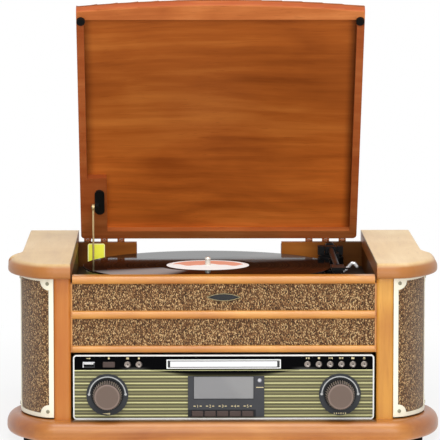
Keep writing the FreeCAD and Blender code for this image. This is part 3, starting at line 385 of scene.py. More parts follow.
# plain pieces: colour, gloss and what wears it
menuButtons = [f"menu_button_{i}" for i in range(1, 6)]
plainLook = {
    "footRubber": ((18, 17, 16), {"rough": 0.7, "shine": 0.1}, ["feet", "lid_bumpers"]),
    "ivoryTrim": ((250, 246, 224), {"rough": 0.4, "coat": 0.1, "mottle": 0.03}, ["grille_frames"]),
    "speakerBlack": ((40, 38, 36), {"rough": 0.7}, ["speakers"]),
    "silverTrim": ((232, 232, 228), {"rough": 0.3, "coat": 0.4, "mottle": 0.05}, ["fascia_border"]),
    "chassisSteel": ((120, 122, 124), {"rough": 0.5, "metal": 0.6}, ["cd_chassis"]),
    "guidePlastic": ((150, 142, 128), {"rough": 0.5}, ["stay_guide"]),
    "deckPlastic": ((26, 22, 20), {"rough": 0.4, "shine": 0.15}, ["deck_plate"]),
    "armPlastic": ((14, 14, 15), {"rough": 0.4, "shine": 0.12}, ["tonearm_base", "tonearm_yoke", "tonearm"]),
    "inletPlastic": ((24, 24, 24), {"rough": 0.6}, ["mains_inlet"]),
    "keyPlastic": ((78, 64, 59), {"rough": 0.4, "shine": 0.2}, ["power_button"] + menuButtons),
    "blackSteel": ((14, 14, 14), {"rough": 0.4}, ["stay_bracket"]),
    "rodBrass": ((206, 180, 128), {"rough": 0.3, "metal": 0.25, "mottle": 0.08}, ["stay_rod"]),
    "hingeBronze": ((134, 76, 38), {"rough": 0.42, "metal": 0.3, "shine": 0.3},
                    ["cabinet_hinge_leaves", "lid_hinge_leaves"]),
    "cueChrome": ((250, 250, 251), {"rough": 0.2, "coat": 0.6, "metal": 0.25, "mottle": 0.03}, ["cue_lever"]),
    "emblemLacquer": ((12, 12, 11), {"rough": 0.25, "coat": 0.3, "shine": 0.3}, ["emblem_plate"])}
for name, (colour, gloss, wearers) in plainLook.items():
    plasticFinish(name, tint(*colour), **gloss).wear(*wearers)

# tuning shaft and motor pulley: steel brushed along its length
shaftLook = {"steel": tint(180, 178, 172), "dark": 0.72, "brush": (900, 20, 900), "rough": 0.35}
f = Finish("shaftSteel", {"Metallic": 1.0})
brush = f.noise(shaftLook["brush"], 3.0)
cloud = f.speckle(60, 3.0)
f.feed("Base Color", f.mix(cloud, scaled(shaftLook["steel"], shaftLook["dark"]), shaftLook["steel"]))
f.feed("Roughness", shaftLook["rough"] + (brush - 0.5) * 0.2)
f.bump(brush, 0.00003, 0.4)
f.wear("tuning_shaft", "motor_pulley")
print("plain finishes done")

# platter: dark plastic with a pale steel spindle
platterLook = {"pin": 0.0042, "pinFoot": 0.002, "clouds": 40, "low": tint(28, 27, 27), "high": tint(40, 39, 38),
               "other": tint(238, 234, 224), "pinMetal": 0.6, "rough": 0.5, "pinGloss": 0.3}
discCentre = middle("record")
f = Finish("platterPlastic", {})
x, y, z = f.axes()
reach = f.length(x - discCentre.x, y - discCentre.y)
pin = (reach < platterLook["pin"]) * (z > discCentre.z - platterLook["pinFoot"])
f.clouded(platterLook, pin, platterLook["rough"] - pin * platterLook["pinGloss"])
f.feed("Metallic", pin * platterLook["pinMetal"])
f.wear("platter")

# USB socket: a dark shell with bright upper and left edges
socketLook = {"top": 0.0011, "left": 0.001, "clouds": 60, "low": tint(40, 40, 42), "high": tint(56, 56, 58),
              "other": tint(226, 226, 228), "rough": 0.4}
socketLow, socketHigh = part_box("usb_socket")
f = Finish("socketSteel", {"Metallic": 0.3})
x, y, z = f.axes()
bright = (z > socketHigh.z - socketLook["top"]).either(x < socketLow.x + socketLook["left"])
f.clouded(socketLook, bright, socketLook["rough"])
f.wear("usb_socket")


# one within a margin of a node's ends in width and height
def margin(f, name, wide, tall):
    mid, high = middle(name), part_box(name)[1]
    x, y, z = f.axes()
    return (abs(x - mid.x) > high.x - mid.x - wide).either(abs(z - mid.z) > high.z - mid.z - tall)


# sticker: plain yellow paper with a paler margin, glowing a little as painted light
stickerLook = {"margin": 0.0012, "low": tint(250, 248, 60), "high": tint(252, 253, 90),
               "pale": tint(253, 251, 170), "rough": 0.55}
# painted light: the paper glows a little with its own colour, so it stays bright in shade
f = Finish("stickerPaper", {"Specular IOR Level": 0.3, "Emission Strength": 0.22})
fibre = f.speckle(900, 3.0)
edge = margin(f, "blank_sticker", stickerLook["margin"], stickerLook["margin"])
paper = f.mix(edge, f.mix(fibre, stickerLook["low"], stickerLook["high"]), stickerLook["pale"])
f.feed("Base Color", paper)
f.feed("Emission Color", paper)
f.feed("Roughness", stickerLook["rough"] + (fibre - 0.5) * 0.2)
f.bump(fibre, 0.00003, 0.4)
f.wear("blank_sticker")

# knobs: turned face with fine rings, a painted highlight on its edge ring and painted shade on its gripping side
knobLook = {"face": tint(110, 93, 83), "edge": tint(132, 114, 104), "side": tint(12, 10, 10),
            "rimHighlightRing": (0.0122, 0.0138), "sideShadeRing": (0.0146, 0.0151), "rings": 9000, "rough": 0.4}
for name in ("volume_knob", "tuning_knob"):
    hub = middle(name)
    f = Finish(name + "Plastic", {"Specular IOR Level": 0.25})
    x, y, z = f.axes()
    reach = f.length(x - hub.x, z - hub.z)
    rings = (reach * knobLook["rings"]).sine()
    speck = f.speckle(700, 2.0)
    face = f.mix(f.step(reach, *knobLook["rimHighlightRing"]), knobLook["face"], knobLook["edge"])
    f.feed("Base Color", f.mix(f.step(reach, *knobLook["sideShadeRing"]), face, knobLook["side"]))
    f.feed("Roughness", knobLook["rough"] + speck * 0.12)
    f.bump(rings * 0.5 + speck, 0.00004, 0.5)
    f.wear(name)

# dial rings: silver arc over the top half with two end dots
ringLook = {"arc": (0.0204, 0.0217), "arcFoot": 0.002, "dot": 0.0015, "dotReach": 0.0213, "dotRise": 0.0005,
            "shadeRing": (0.0178, 0.0204), "shadeLift": 0.06, "slate": tint(52, 54, 57),
            "silver": tint(186, 188, 187), "shade": tint(16, 17, 18), "rough": 0.46}
knobPlace = middle("tuning_knob")
f = Finish("dialRing", {"Specular IOR Level": 0.2})
x, y, z = f.axes()
across = abs(x) - knobPlace.x
rise = z - knobPlace.z
reach = f.length(across, rise)
arc = (reach > ringLook["arc"][0]) * (reach < ringLook["arc"][1]) * (rise > ringLook["arcFoot"])
dots = f.length(abs(across) - ringLook["dotReach"], rise - ringLook["dotRise"]) < ringLook["dot"]
silver = arc.either(dots)
speck = f.speckle(800, 2.0)
lift = reach - rise * ringLook["shadeLift"]
slate = f.mix(f.step(lift, *ringLook["shadeRing"]), ringLook["shade"], ringLook["slate"])
f.feed("Base Color", f.mix(silver, slate, ringLook["silver"]))
f.feed("Roughness", ringLook["rough"] - silver * 0.16 + (speck - 0.5) * 0.1)
f.bump(speck * 0.4 + silver, 0.00005, 0.5)
f.wear("dial_rings")

# fascia print: black band on top, cream lines with thin grey ones between, a painted shadow arc in the middle
# creamHalf, greyAway, greyHalf and split are shares of the pitch, away from a cream line's middle
printLook = {"band": 0.0583, "line": 0.0577, "pitch": 0.0076, "creamHalf": 0.065, "greyAway": 0.31,
             "greyHalf": 0.075, "split": 0.35, "arcTop": 0.0575, "arcMiddle": 0.0015, "arcReach": (0.088, 0.03),
             "arcDrop": (0.0105, 0.003), "creamLeft": 0.6, "wingMiddle": -0.004, "wingReach": 0.1,
             "wingWide": 0.02, "wingTall": 0.0042, "wingShare": 0.8, "cream": tint(226, 223, 168),
             "olive": tint(125, 121, 84), "paleOlive": tint(139, 135, 98), "grey": tint(88, 85, 70),
             "black": tint(3, 3, 4), "sheen": tint(84, 84, 80), "rough": 0.32}
f = Finish("fasciaPrint", {"Specular IOR Level": 0.03})
x, y, z = f.axes()
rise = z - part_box("fascia_border")[0].z
turns = (printLook["line"] + printLook["pitch"] * 0.5 - rise) / printLook["pitch"]
away = abs(f.node("Math", {"operation": "FRACT"}, {0: turns}) - 0.5)
cream = away < printLook["creamHalf"]
grey = abs(away - printLook["greyAway"]) < printLook["greyHalf"]
olive = f.mix(away > printLook["split"], printLook["olive"], printLook["paleOlive"])
stripes = f.mix(cream, f.mix(grey, olive, printLook["grey"]), printLook["cream"])
# painted shadow: in the middle a dark arc droops below the band, dimming the cream lines
droop = f.step(abs(x - printLook["arcMiddle"]), *printLook["arcReach"])
arcFoot, arcHead = [printLook["arcTop"] - droop * drop for drop in printLook["arcDrop"]]
shade = f.step(rise, arcFoot, arcHead) * (1 - cream * printLook["creamLeft"])
lower = f.mix(shade * (droop > 0.001), stripes, printLook["black"])
band = rise > printLook["band"]
wing = f.step(abs(abs(x - printLook["wingMiddle"]) - printLook["wingReach"]), printLook["wingWide"], 0.0)
wing = wing * f.step(rise, printLook["band"] + printLook["wingTall"], printLook["band"])
upper = f.mix(wing * printLook["wingShare"], printLook["black"], printLook["sheen"])
speck = f.speckle(600, 2.0)
f.feed("Base Color", f.mix(band, lower, upper))
f.feed("Roughness", printLook["rough"] - band * 0.12 + (speck - 0.5) * 0.06)
f.bump(speck, 0.00002, 0.3)
f.wear("fascia_panel")

# drawer surround: white rim, with painted shade inside it for the gap round the drawer
bezelLook = {"rimWide": 0.00135, "rimTall": 0.0012, "clouds": 60, "low": tint(238, 238, 236),
             "high": tint(248, 248, 246), "other": tint(10, 10, 12), "rough": 0.32}
f = Finish("drawerSurround", {"Coat Weight": 0.2, "Coat Roughness": 0.1})
f.clouded(bezelLook, 1 - margin(f, "cd_bezel", bezelLook["rimWide"], bezelLook["rimTall"]), bezelLook["rough"])
f.wear("cd_bezel")

# drawer: white front with painted shade at its ends
trayLook = {"end": 0.0014, "clouds": 60, "low": tint(244, 244, 246), "high": tint(250, 250, 251),
            "other": tint(26, 26, 28), "rough": 0.35}
bezelMid = middle("cd_bezel")
f = Finish("trayPlastic", {"Coat Weight": 0.2, "Coat Roughness": 0.1})
ends = abs(f.axes()[0] - bezelMid.x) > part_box("cd_tray")[1].x - bezelMid.x - trayLook["end"]
f.clouded(trayLook, ends, trayLook["rough"])
f.wear("cd_tray")

# display: slate surround with painted shade in a line round its window, and a dark foot behind its buttons
displayLook = {"line": 0.0008, "footRise": 0.0006, "sensorEdge": 0.0375, "low": tint(57, 58, 61),
               "high": tint(66, 67, 71), "dark": tint(30, 30, 33), "rough": 0.42}
moduleLow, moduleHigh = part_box("display_module")
glassLow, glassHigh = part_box("display_windows")
glassHalf = -glassLow.x
glassMid = (glassLow.z + glassHigh.z) / 2
f = Finish("displaySlate", {"Specular IOR Level": 0.2})
x, y, z = f.axes()
line = abs(x) < glassHalf + displayLook["line"]
line = line * (abs(z - glassMid) < glassHigh.z - glassMid + displayLook["line"])
foot = (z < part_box("menu_button_1")[1].z + displayLook["footRise"]) * (x < displayLook["sensorEdge"])
cloud = f.speckle(50, 3.0)
speck = f.speckle(900, 2.0)
slate = f.mix(cloud, displayLook["low"], displayLook["high"])
f.feed("Base Color", f.mix(line.either(foot), slate, displayLook["dark"]))
f.feed("Roughness", displayLook["rough"] + (speck - 0.5) * 0.12)
f.bump(speck, 0.00004, 0.5)
f.wear("display_module")

# window: grey with a slanted glare, and a bright round sensor beside it
windowLook = {"low": tint(136, 136, 137), "high": tint(146, 146, 146), "eye": tint(196, 196, 202),
              "eyeRim": tint(96, 96, 104), "eyeInset": (0.0057, 0.0048), "eyeRing": (0.0028, 0.0012),
              "slant": (0.9, 0.75), "glare": (0.002, 0.016), "glareShare": 0.75, "streak": (-0.03, -0.036),
              "streakShare": 0.25, "rough": 0.3}
f = Finish("displayWindow", {"Coat Weight": 0.3, "Coat Roughness": 0.05, "Specular IOR Level": 0.3})
x, y, z = f.axes()
slant = x * windowLook["slant"][0] + (z - glassMid) * windowLook["slant"][1]
glare = f.step(slant, *windowLook["glare"]) * windowLook["glareShare"]
glare = glare + f.step(slant, *windowLook["streak"]) * windowLook["streakShare"]
speck = f.speckle(500, 2.0)
grey = f.mix(glare, windowLook["low"], windowLook["high"])
eyeRight, eyeTop = windowLook["eyeInset"]
eyeReach = f.length(x - (moduleHigh.x - eyeRight), z - (moduleHigh.z - eyeTop))
eye = f.mix(f.step(eyeReach, *windowLook["eyeRing"]), windowLook["eyeRim"], windowLook["eye"])
f.feed("Base Color", f.mix(x > displayLook["sensorEdge"], grey, eye))
f.feed("Roughness", windowLook["rough"] + (speck - 0.5) * 0.08)
f.bump(speck, 0.00002, 0.3)
f.wear("display_windows")

# record: fine grooves, a smooth ring around a plain two-colour label, a shine in two opposite wedges
recordLook = {"label": 0.05, "smooth": 0.0595, "edge": 0.148, "grooves": 7000, "tracks": 300,
              "wave": (125, 0.9, 0.008), "ripple": (330, 0.4, 0.003), "halfRise": 0.003,
              "halfEdge": (-0.0006, 0.0006),
              "salmonReach": 0.0435, "rim": (0.0478, 0.0484), "wedge": (0.72, 0.69), "wedgeEdge": (0.9, 1.0),
              "rightSheen": 0.2, "leftSheen": 0.75, "gloss": 0.36, "farTurn": 0.25, "farEdge": (0.01, 0.09),
              "farGloss": 0.54, "trackGloss": 0.9, "rough": 0.3, "trackRough": 0.12, "trackMean": 0.42,
              "vinyl": tint(8, 7, 8),
              "salmon": tint(236, 166, 140), "white": tint(252, 251, 248), "ring": tint(206, 126, 104),
              "sheen": tint(162, 160, 158)}
f = Finish("recordVinyl", {"Specular IOR Level": 0.0, "Coat IOR": 1.14, "Coat Roughness": 0.06})
x, y, z = f.axes()
dx, dy = x - discCentre.x, y - discCentre.y
reach = f.length(dx, dy)
grooved = (reach > recordLook["smooth"]) * (reach < recordLook["edge"])
groove = (reach * recordLook["grooves"]).sine() * grooved
track = f.noise((1, 1, 1), 3.0, vector=f.node("CombineXYZ", sockets={0: reach * recordLook["tracks"]}))
onLabel = reach < recordLook["label"]
wave, ripple = [(dx * often + shift).sine() * tall
                for often, shift, tall in (recordLook["wave"], recordLook["ripple"])]
half = f.step(dy - wave - ripple - recordLook["halfRise"], *recordLook["halfEdge"])
labelTint = f.mix(half * (reach < recordLook["salmonReach"]), recordLook["white"], recordLook["salmon"])
rim = (reach > recordLook["rim"][0]) * (reach < recordLook["rim"][1])
labelTint = f.mix(rim * half, labelTint, recordLook["ring"])
wedge = abs(dx * recordLook["wedge"][0] + dy * recordLook["wedge"][1]) / reach
sheen = f.step(wedge, *recordLook["wedgeEdge"]) * grooved
sheen = sheen * (recordLook["rightSheen"] + (dx < 0) * recordLook["leftSheen"])
vinyl = f.mix(sheen, recordLook["vinyl"], recordLook["sheen"])
f.feed("Base Color", f.mix(onLabel, vinyl, labelTint))
far = f.step(dy - dx * recordLook["farTurn"], *recordLook["farEdge"])
gloss = (recordLook["gloss"] + far * recordLook["farGloss"]) * (1 - onLabel)
f.feed("Coat Weight", gloss + (track - 0.5) * recordLook["trackGloss"] * grooved)
f.feed("Roughness", recordLook["rough"] + (track - recordLook["trackMean"]) * recordLook["trackRough"] * grooved)
f.bump(groove, 0.00002, 0.12)
f.wear("record")

# drive: steel motor below the deck, rubber belt above it
driveLook = {"clouds": 80, "low": tint(150, 150, 152), "high": tint(178, 178, 180), "other": tint(24, 23, 23),
             "rough": 0.4, "beltRough": 0.4}
f = Finish("driveSteel", {})
belt = f.axes()[2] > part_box("deck_plate")[1].z
f.clouded(driveLook, belt, driveLook["rough"] + belt * driveLook["beltRough"])
f.feed("Metallic", 1 - belt)
f.wear("turntable_drive")

# circuit boards, and steel with copper where the transformer stands
boardLook = {"heavyLeft": 0.03, "heavyFront": 0.05, "core": 0.095, "coreHalf": 0.0252, "traces": 260,
             "traceEdge": (0.5, 0.54), "green": tint(28, 84, 48), "paleGreen": tint(44, 112, 66),
             "steel": tint(96, 96, 98), "copper": tint(176, 104, 60), "rough": 0.5}
f = Finish("circuitBoard", {})
x, y, z = f.axes()
heavy = (x > boardLook["heavyLeft"]) * (y > boardLook["heavyFront"])
copper = heavy * (abs(y - boardLook["core"]) > boardLook["coreHalf"])
trace = f.noise((boardLook["traces"],) * 3, 1.0, 0.3)
green = f.mix(f.step(trace, *boardLook["traceEdge"]), boardLook["green"], boardLook["paleGreen"])
f.feed("Base Color", f.mix(copper, f.mix(heavy, green, boardLook["steel"]), boardLook["copper"]))
f.feed("Metallic", heavy * 0.8)
f.feed("Roughness", boardLook["rough"] + (trace - 0.5) * 0.2)
f.wear("electronics")

# cloth: woven flecks on a slant, from dark brown to cream
clothLook = {"turn": 0.6, "flecks": (1500, 760, 1), "threads": 5200, "gap": tint(54, 40, 28), "gapShare": 0.3,
             "yarn": [(0.0, tint(43, 28, 15)), (0.3, tint(86, 57, 34)), (0.55, tint(121, 84, 51)),
                      (0.8, tint(160, 117, 74)), (0.92, tint(235, 199, 143))],
             "rough": 0.85, "relief": (0.0003, 0.6), "thick": 0.0012}
f = Finish("speakerCloth", {"Sheen Weight": 0.2, "Sheen Roughness": 0.5, "Specular IOR Level": 0.2})
weave = f.node("TexCoord", output="UV")
bent = f.node("Mapping", sockets={"Vector": weave, "Rotation": (0, 0, clothLook["turn"]),
                                  "Scale": clothLook["flecks"]})
cell = f.node("TexVoronoi", {"voronoi_dimensions": "2D"}, {"Vector": bent, "Scale": 1.0, "Randomness": 1.0},
              "Color")
pick = f.axes(cell)
yarn = f.node("ValToRGB", {"stops": clothLook["yarn"]}, {"Fac": pick[0]})
u, v = f.axes(weave)[:2]
thread = (u * clothLook["threads"]).sine() * (v * clothLook["threads"]).sine() * 0.5 + 0.5
f.feed("Base Color", f.mix((1 - thread) * clothLook["gapShare"], yarn, clothLook["gap"]))
f.feed("Roughness", clothLook["rough"] - pick[1] * 0.15)
f.bump(thread + pick[2] * 0.6, *clothLook["relief"])
speakerCloth = f.material
print("printed and woven finishes done")


def deselect():
    if bpy.context.object and bpy.context.object.mode != "OBJECT":
        bpy.ops.object.mode_set(mode="OBJECT")
    bpy.ops.object.select_all(action="DESELECT")


def named(name):
    piece = bpy.context.object
    piece.name = piece.data.name = name
    return piece


def settle():
    bpy.ops.object.transform_apply(location=True, rotation=True, scale=True)


# a block of some size at a place, turned about the upright axis
def block(name, size, place, turn=0.0):
    deselect()
    bpy.ops.mesh.primitive_cube_add(size=1, location=place, rotation=(0, 0, turn))
    bpy.context.object.scale = size
    settle()
    return named(name)


def shaping():
    bpy.ops.object.mode_set(mode="EDIT")


def selectAll():
    bpy.ops.mesh.select_all(action="SELECT")


def pushForward(depth):
    bpy.ops.mesh.extrude_region_move(TRANSFORM_OT_translate={"value": (0, -depth, 0)})


# leaves edit mode with merged, outward faces
def shaped(smooth):
    selectAll()
    bpy.ops.mesh.remove_doubles(threshold=0.000002)
    bpy.ops.mesh.normals_make_consistent(inside=False)
    bpy.ops.object.mode_set(mode="OBJECT")
    bpy.ops.object.shade_smooth_by_angle(angle=smooth)


# the faces whose normal passes a test become the selection
def pickFaces(piece, test):
    bpy.ops.mesh.select_all(action="DESELECT")
    bpy.ops.object.mode_set(mode="OBJECT")
    for face in piece.data.polygons:
        face.select = test(face.normal)
    shaping()


# a copy with its own mesh, moved by a matrix
def copied(piece, name, place):
    twin = piece.copy()
    twin.data = piece.data.copy()
    twin.name = twin.data.name = name
    twin.data.transform(place)
    scene.collection.objects.link(twin)
    return twin


def join(pieces, name):
    deselect()
    for piece in pieces:
        piece.select_set(True)
    bpy.context.view_layer.objects.active = pieces[0]
    bpy.ops.object.join()
    return named(name)


def finished(piece, material, body, slot, *replaced):
    piece.data.materials.clear()
    piece.data.materials.append(material)
    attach(piece, body)
    if replaced:
        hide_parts(*replaced)


# round buttons: a flanged cap with a raised rim and a dished face
buttonLook = {"sides": 40, "flange": 0.0049, "plate": 0.0009, "shoulder": 0.0011, "neck": 0.0045,
              "face": ((0.0002, 0.00025), (0.0003, 0.00015), (0.0004, -0.00012), (0.0006, -0.0003),
                       (0.0008, -0.0002), (0.0008, -0.00006)),
              "dish": tint(62, 52, 48), "side": tint(40, 33, 30), "sideShadeRing": (0.0034, 0.0038),
              "glint": tint(186, 172, 160), "glintRing": 0.0019, "glintShift": 0.0002,
              "glintEdge": (0.0012, 0.0004), "glintShare": 0.65, "rimRing": 0.0031, "rimEdge": (0.0007, 0.0001),
              "rimSlant": (-0.002, 0.003), "bright": 0.85, "rough": 0.3,
              "names": ("function", "record", "play", "stop", "next", "previous", "folder", "eject")}
deselect()
bpy.ops.mesh.primitive_circle_add(vertices=buttonLook["sides"], radius=buttonLook["flange"], fill_type="NGON",
                                  rotation=(math.pi / 2, 0, 0))
settle()
cap = named("buttonCap")
shaping()
pushForward(buttonLook["plate"])
bpy.ops.mesh.inset(thickness=buttonLook["shoulder"])
pushForward(buttonLook["neck"])
for inward, outward in buttonLook["face"]:
    bpy.ops.mesh.inset(thickness=inward, depth=outward)
shaped(0.5)


# each cap has painted shade at its side and a dark middle, with a painted highlight ring between and a painted
# highlight on its upper rim
def capFinish(name, spot):
    f = Finish(name, {"Coat Weight": 0.5, "Coat Roughness": 0.12, "Metallic": 0.2})
    x, y, z = f.axes()
    reach = f.length(x - spot.x, z - spot.z)
    ring = abs(f.length(x - spot.x - buttonLook["glintShift"], z - spot.z) - buttonLook["glintRing"])
    glint = f.step(ring, *buttonLook["glintEdge"]) * buttonLook["glintShare"]
    rim = f.step(abs(reach - buttonLook["rimRing"]), *buttonLook["rimEdge"])
    rim = rim * f.step(z - spot.z - x + spot.x, *buttonLook["rimSlant"])
    speck = f.speckle(900, 2.0)
    shade = f.mix(f.step(reach, *buttonLook["sideShadeRing"]), buttonLook["dish"], buttonLook["side"])
    f.feed("Base Color", f.mix(glint.either(rim) * buttonLook["bright"], shade, buttonLook["glint"]))
    f.feed("Roughness", buttonLook["rough"] + (speck - 0.5) * 0.1)
    return f.material


for name in buttonLook["names"]:
    body = name + "_button"
    spot = middle(body)
    place = Matrix.Translation((spot.x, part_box(body)[1].y, spot.z))
    button = copied(cap, name + "Cap", place)
    finished(button, capFinish(name + "Plastic", spot), body, "button_plastic", body)
bpy.data.objects.remove(cap)

# the grilles turn tightly at the front, then sweep back along the side: two arcs and a straight end
frameLow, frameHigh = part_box("grille_frames")
cornerLook = {"wide": 0.0414, "deep": 0.07}
cornerLook["start"] = frameHigh.x - cornerLook["wide"]
diagonal = math.sqrt(0.5)
spread = diagonal * diagonal - (1 - diagonal) ** 2
cornerLook["tight"] = (cornerLook["wide"] * diagonal - cornerLook["deep"] * (1 - diagonal)) / spread
cornerLook["sweep"] = (cornerLook["deep"] * diagonal - cornerLook["wide"] * (1 - diagonal)) / spread


# place and outward direction in plan, some way along the corner at a depth behind its face
def cornerPlace(run, inset, side):
    tight, sweep = cornerLook["tight"] - inset, cornerLook["sweep"] - inset
    first, second = tight * math.pi / 4, sweep * math.pi / 4
    turn = min(run, first) / tight + min(max(run - first, 0), second) / sweep
    across, back = math.sin(turn), 1 - math.cos(turn)
    if run <= first:
        x, y = tight * across, tight * back
    else:
        x = tight * diagonal + sweep * (across - diagonal)
        y = tight * (1 - diagonal) + sweep * (diagonal - math.cos(turn))
    y += max(run - first - second, 0)
    spot = Vector((side * (cornerLook["start"] + x), frameLow.y + inset + y, 0))
    return spot, Vector((side * across, -math.cos(turn), 0))


# grille screws: domed heads with a cross recess
screwLook = {"sides": 28, "radius": 0.0022, "tall": 0.001, "wall": 0.0007, "turn": math.radians(19.3),
             "dome": ((0.00035, 0.00016), (0.0005, 0.00009), (0.0006, 0.00005)),
             "slot": (0.0026, 0.0005, 0.0009), "slotTurn": 0.4}
screwSteel = plasticFinish("screwSteel", tint(150, 146, 120), 0.35, metal=0.3, coat=0.2).material
screwLow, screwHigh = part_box("grille_screws")
deselect()
bpy.ops.mesh.primitive_cylinder_add(vertices=screwLook["sides"], radius=screwLook["radius"],
                                    depth=screwLook["wall"], location=(0, 0, screwLook["wall"] / 2))
settle()
head = named("screwHead")
shaping()
pickFaces(head, lambda normal: normal.z > 0.9)
for inward, outward in screwLook["dome"]:
    bpy.ops.mesh.inset(thickness=inward, depth=outward)
shaped(0.5)
for turn in (screwLook["slotTurn"], screwLook["slotTurn"] + math.pi / 2):
    cutter = block("recess", screwLook["slot"], (0, 0, screwLook["tall"]), turn)
    deselect()
    head.select_set(True)
    bpy.context.view_layer.objects.active = head
    carve = head.modifiers.new("carve", "BOOLEAN")
    carve.operation, carve.object = "DIFFERENCE", cutter
    bpy.ops.object.modifier_apply(modifier="carve")
    bpy.data.objects.remove(cutter)
rows = {"Low": screwLow.z + screwLook["radius"], "High": screwHigh.z - screwLook["radius"]}
for sideName, side in (("Left", -1), ("Right", 1)):
    front, around = cornerPlace(screwLook["turn"] * cornerLook["tight"], 0, side)
    sideways = Vector((side, 0, 0))
    flank = Vector((side * (screwHigh.x - screwLook["tall"]), screwHigh.y - screwLook["radius"], 0))
    for rowName, level in rows.items():
        for spotName, spot, facing in (("Front", front, around), ("Flank", flank, sideways)):
            turned = facing.to_track_quat("Z", "Y").to_matrix().to_4x4()
            place = Matrix.Translation((spot.x, spot.y, level)) @ turned
            screw = copied(head, "screw" + sideName + rowName + spotName, place)
            finished(screw, screwSteel, "cabinet", "screw_steel", "grille_screws")
bpy.data.objects.remove(head)
print("buttons and screws done")

# knob grips: one rounded rib, deeper at the back, spun around each knob
gripLook = {"count": 38, "rib": (0.001, 0.0136, 0.0007), "radius": 0.0153, "front": 0.0016, "flare": 0.0016,
            "bevel": 0.0002}
# painted highlight: the ribs are paler than the knob's face, as lit ribs
gripPlastic = plasticFinish("gripPlastic", tint(150, 136, 126), 0.4).material
for name in ("volume_knob", "tuning_knob"):
    hub = middle(name)
    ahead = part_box(name)[0].y + gripLook["front"] + gripLook["rib"][1] / 2
    grip = block(name.split("_")[0] + "Grip", gripLook["rib"], (hub.x, ahead, hub.z + gripLook["radius"]))
    shaping()
    pickFaces(grip, lambda normal: normal.y > 0.9)
    bpy.ops.transform.resize(value=(1, 1, 1 + gripLook["flare"] * 2 / gripLook["rib"][2]))
    selectAll()
    bpy.ops.mesh.bevel(offset=gripLook["bevel"], segments=2, affect="EDGES")
    selectAll()
    bpy.ops.mesh.spin(steps=gripLook["count"], dupli=True, angle=2 * math.pi, center=(hub.x, ahead, hub.z),
                      axis=(0, 1, 0))
    shaped(0.5)
    finished(grip, gripPlastic, name, "knob_plastic")

# socket tongue: a pale plate with a stepped front, standing in the upper half of the mouth
tongueLook = {"wide": 0.0112, "thick": 0.0019, "front": 0.001, "back": 0.0132, "raise": 0.0011, "step": 0.0003,
              "bevel": 0.00012}
tonguePlastic = plasticFinish("tonguePlastic", tint(240, 240, 240), 0.4, mottle=0.03).material
usbSpot = middle("usb_socket")
tongueMid = socketLow.y + (tongueLook["front"] + tongueLook["back"]) / 2
tongueSize = (tongueLook["wide"], tongueLook["back"] - tongueLook["front"], tongueLook["thick"])
tongue = block("socketTongue", tongueSize, (usbSpot.x, tongueMid, usbSpot.z + tongueLook["raise"]))
shaping()
pickFaces(tongue, lambda normal: normal.y < -0.9)
bpy.ops.mesh.inset(thickness=tongueLook["step"], depth=tongueLook["step"])
selectAll()
bpy.ops.mesh.bevel(offset=tongueLook["bevel"], segments=2, affect="EDGES")
shaped(0.5)
finished(tongue, tonguePlastic, "cabinet", "silver_trim")

# emblem rim: a pale bead round the lens-shaped plate, just inside its edge
rimLook = {"half": 0.0205, "rise": 0.00465, "steps": 36, "inside": (0.985, 0.97), "wide": 0.00075,
           "proud": 0.0005, "beads": 4200, "dark": tint(112, 98, 68), "pale": tint(172, 156, 116), "rough": 0.3}
emblemSpot, emblemFront = middle("emblem_plate"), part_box("emblem_plate")[0].y
lensRadius = (rimLook["half"] ** 2 + rimLook["rise"] ** 2) / (2 * rimLook["rise"])
deselect()
bpy.ops.mesh.primitive_circle_add(vertices=rimLook["steps"] * 2, radius=1, fill_type="NGON",
                                  rotation=(math.pi / 2, 0, 0))
settle()
lens = named("emblemRim")
for i, vertex in enumerate(lens.data.vertices):
    part = i % rimLook["steps"] / rimLook["steps"]
    sign = 1 if i < rimLook["steps"] else -1
    across = sign * rimLook["half"] * (1 - 2 * part) * rimLook["inside"][0]
    bulge = (lensRadius ** 2 - across ** 2) ** 0.5 - lensRadius + rimLook["rise"]
    vertex.co = (emblemSpot.x + across, emblemFront, emblemSpot.z - sign * bulge * rimLook["inside"][1])
shaping()
selectAll()
bpy.ops.mesh.inset(thickness=rimLook["wide"])
bpy.ops.mesh.delete(type="FACE")
selectAll()
pushForward(rimLook["proud"])
shaped(0.4)
f = Finish("emblemBead", {"Metallic": 0.7, "Coat Weight": 0.1})
bead = (f.axes()[0] * rimLook["beads"]).sine() * 0.5 + 0.5
f.feed("Base Color", f.mix(bead, rimLook["dark"], rimLook["pale"]))
f.feed("Roughness", rimLook["rough"] + bead * 0.15)
f.bump(bead, 0.0002, 0.6)
finished(lens, f.material, "cabinet", "emblem")
print("grips, tongue and emblem done")

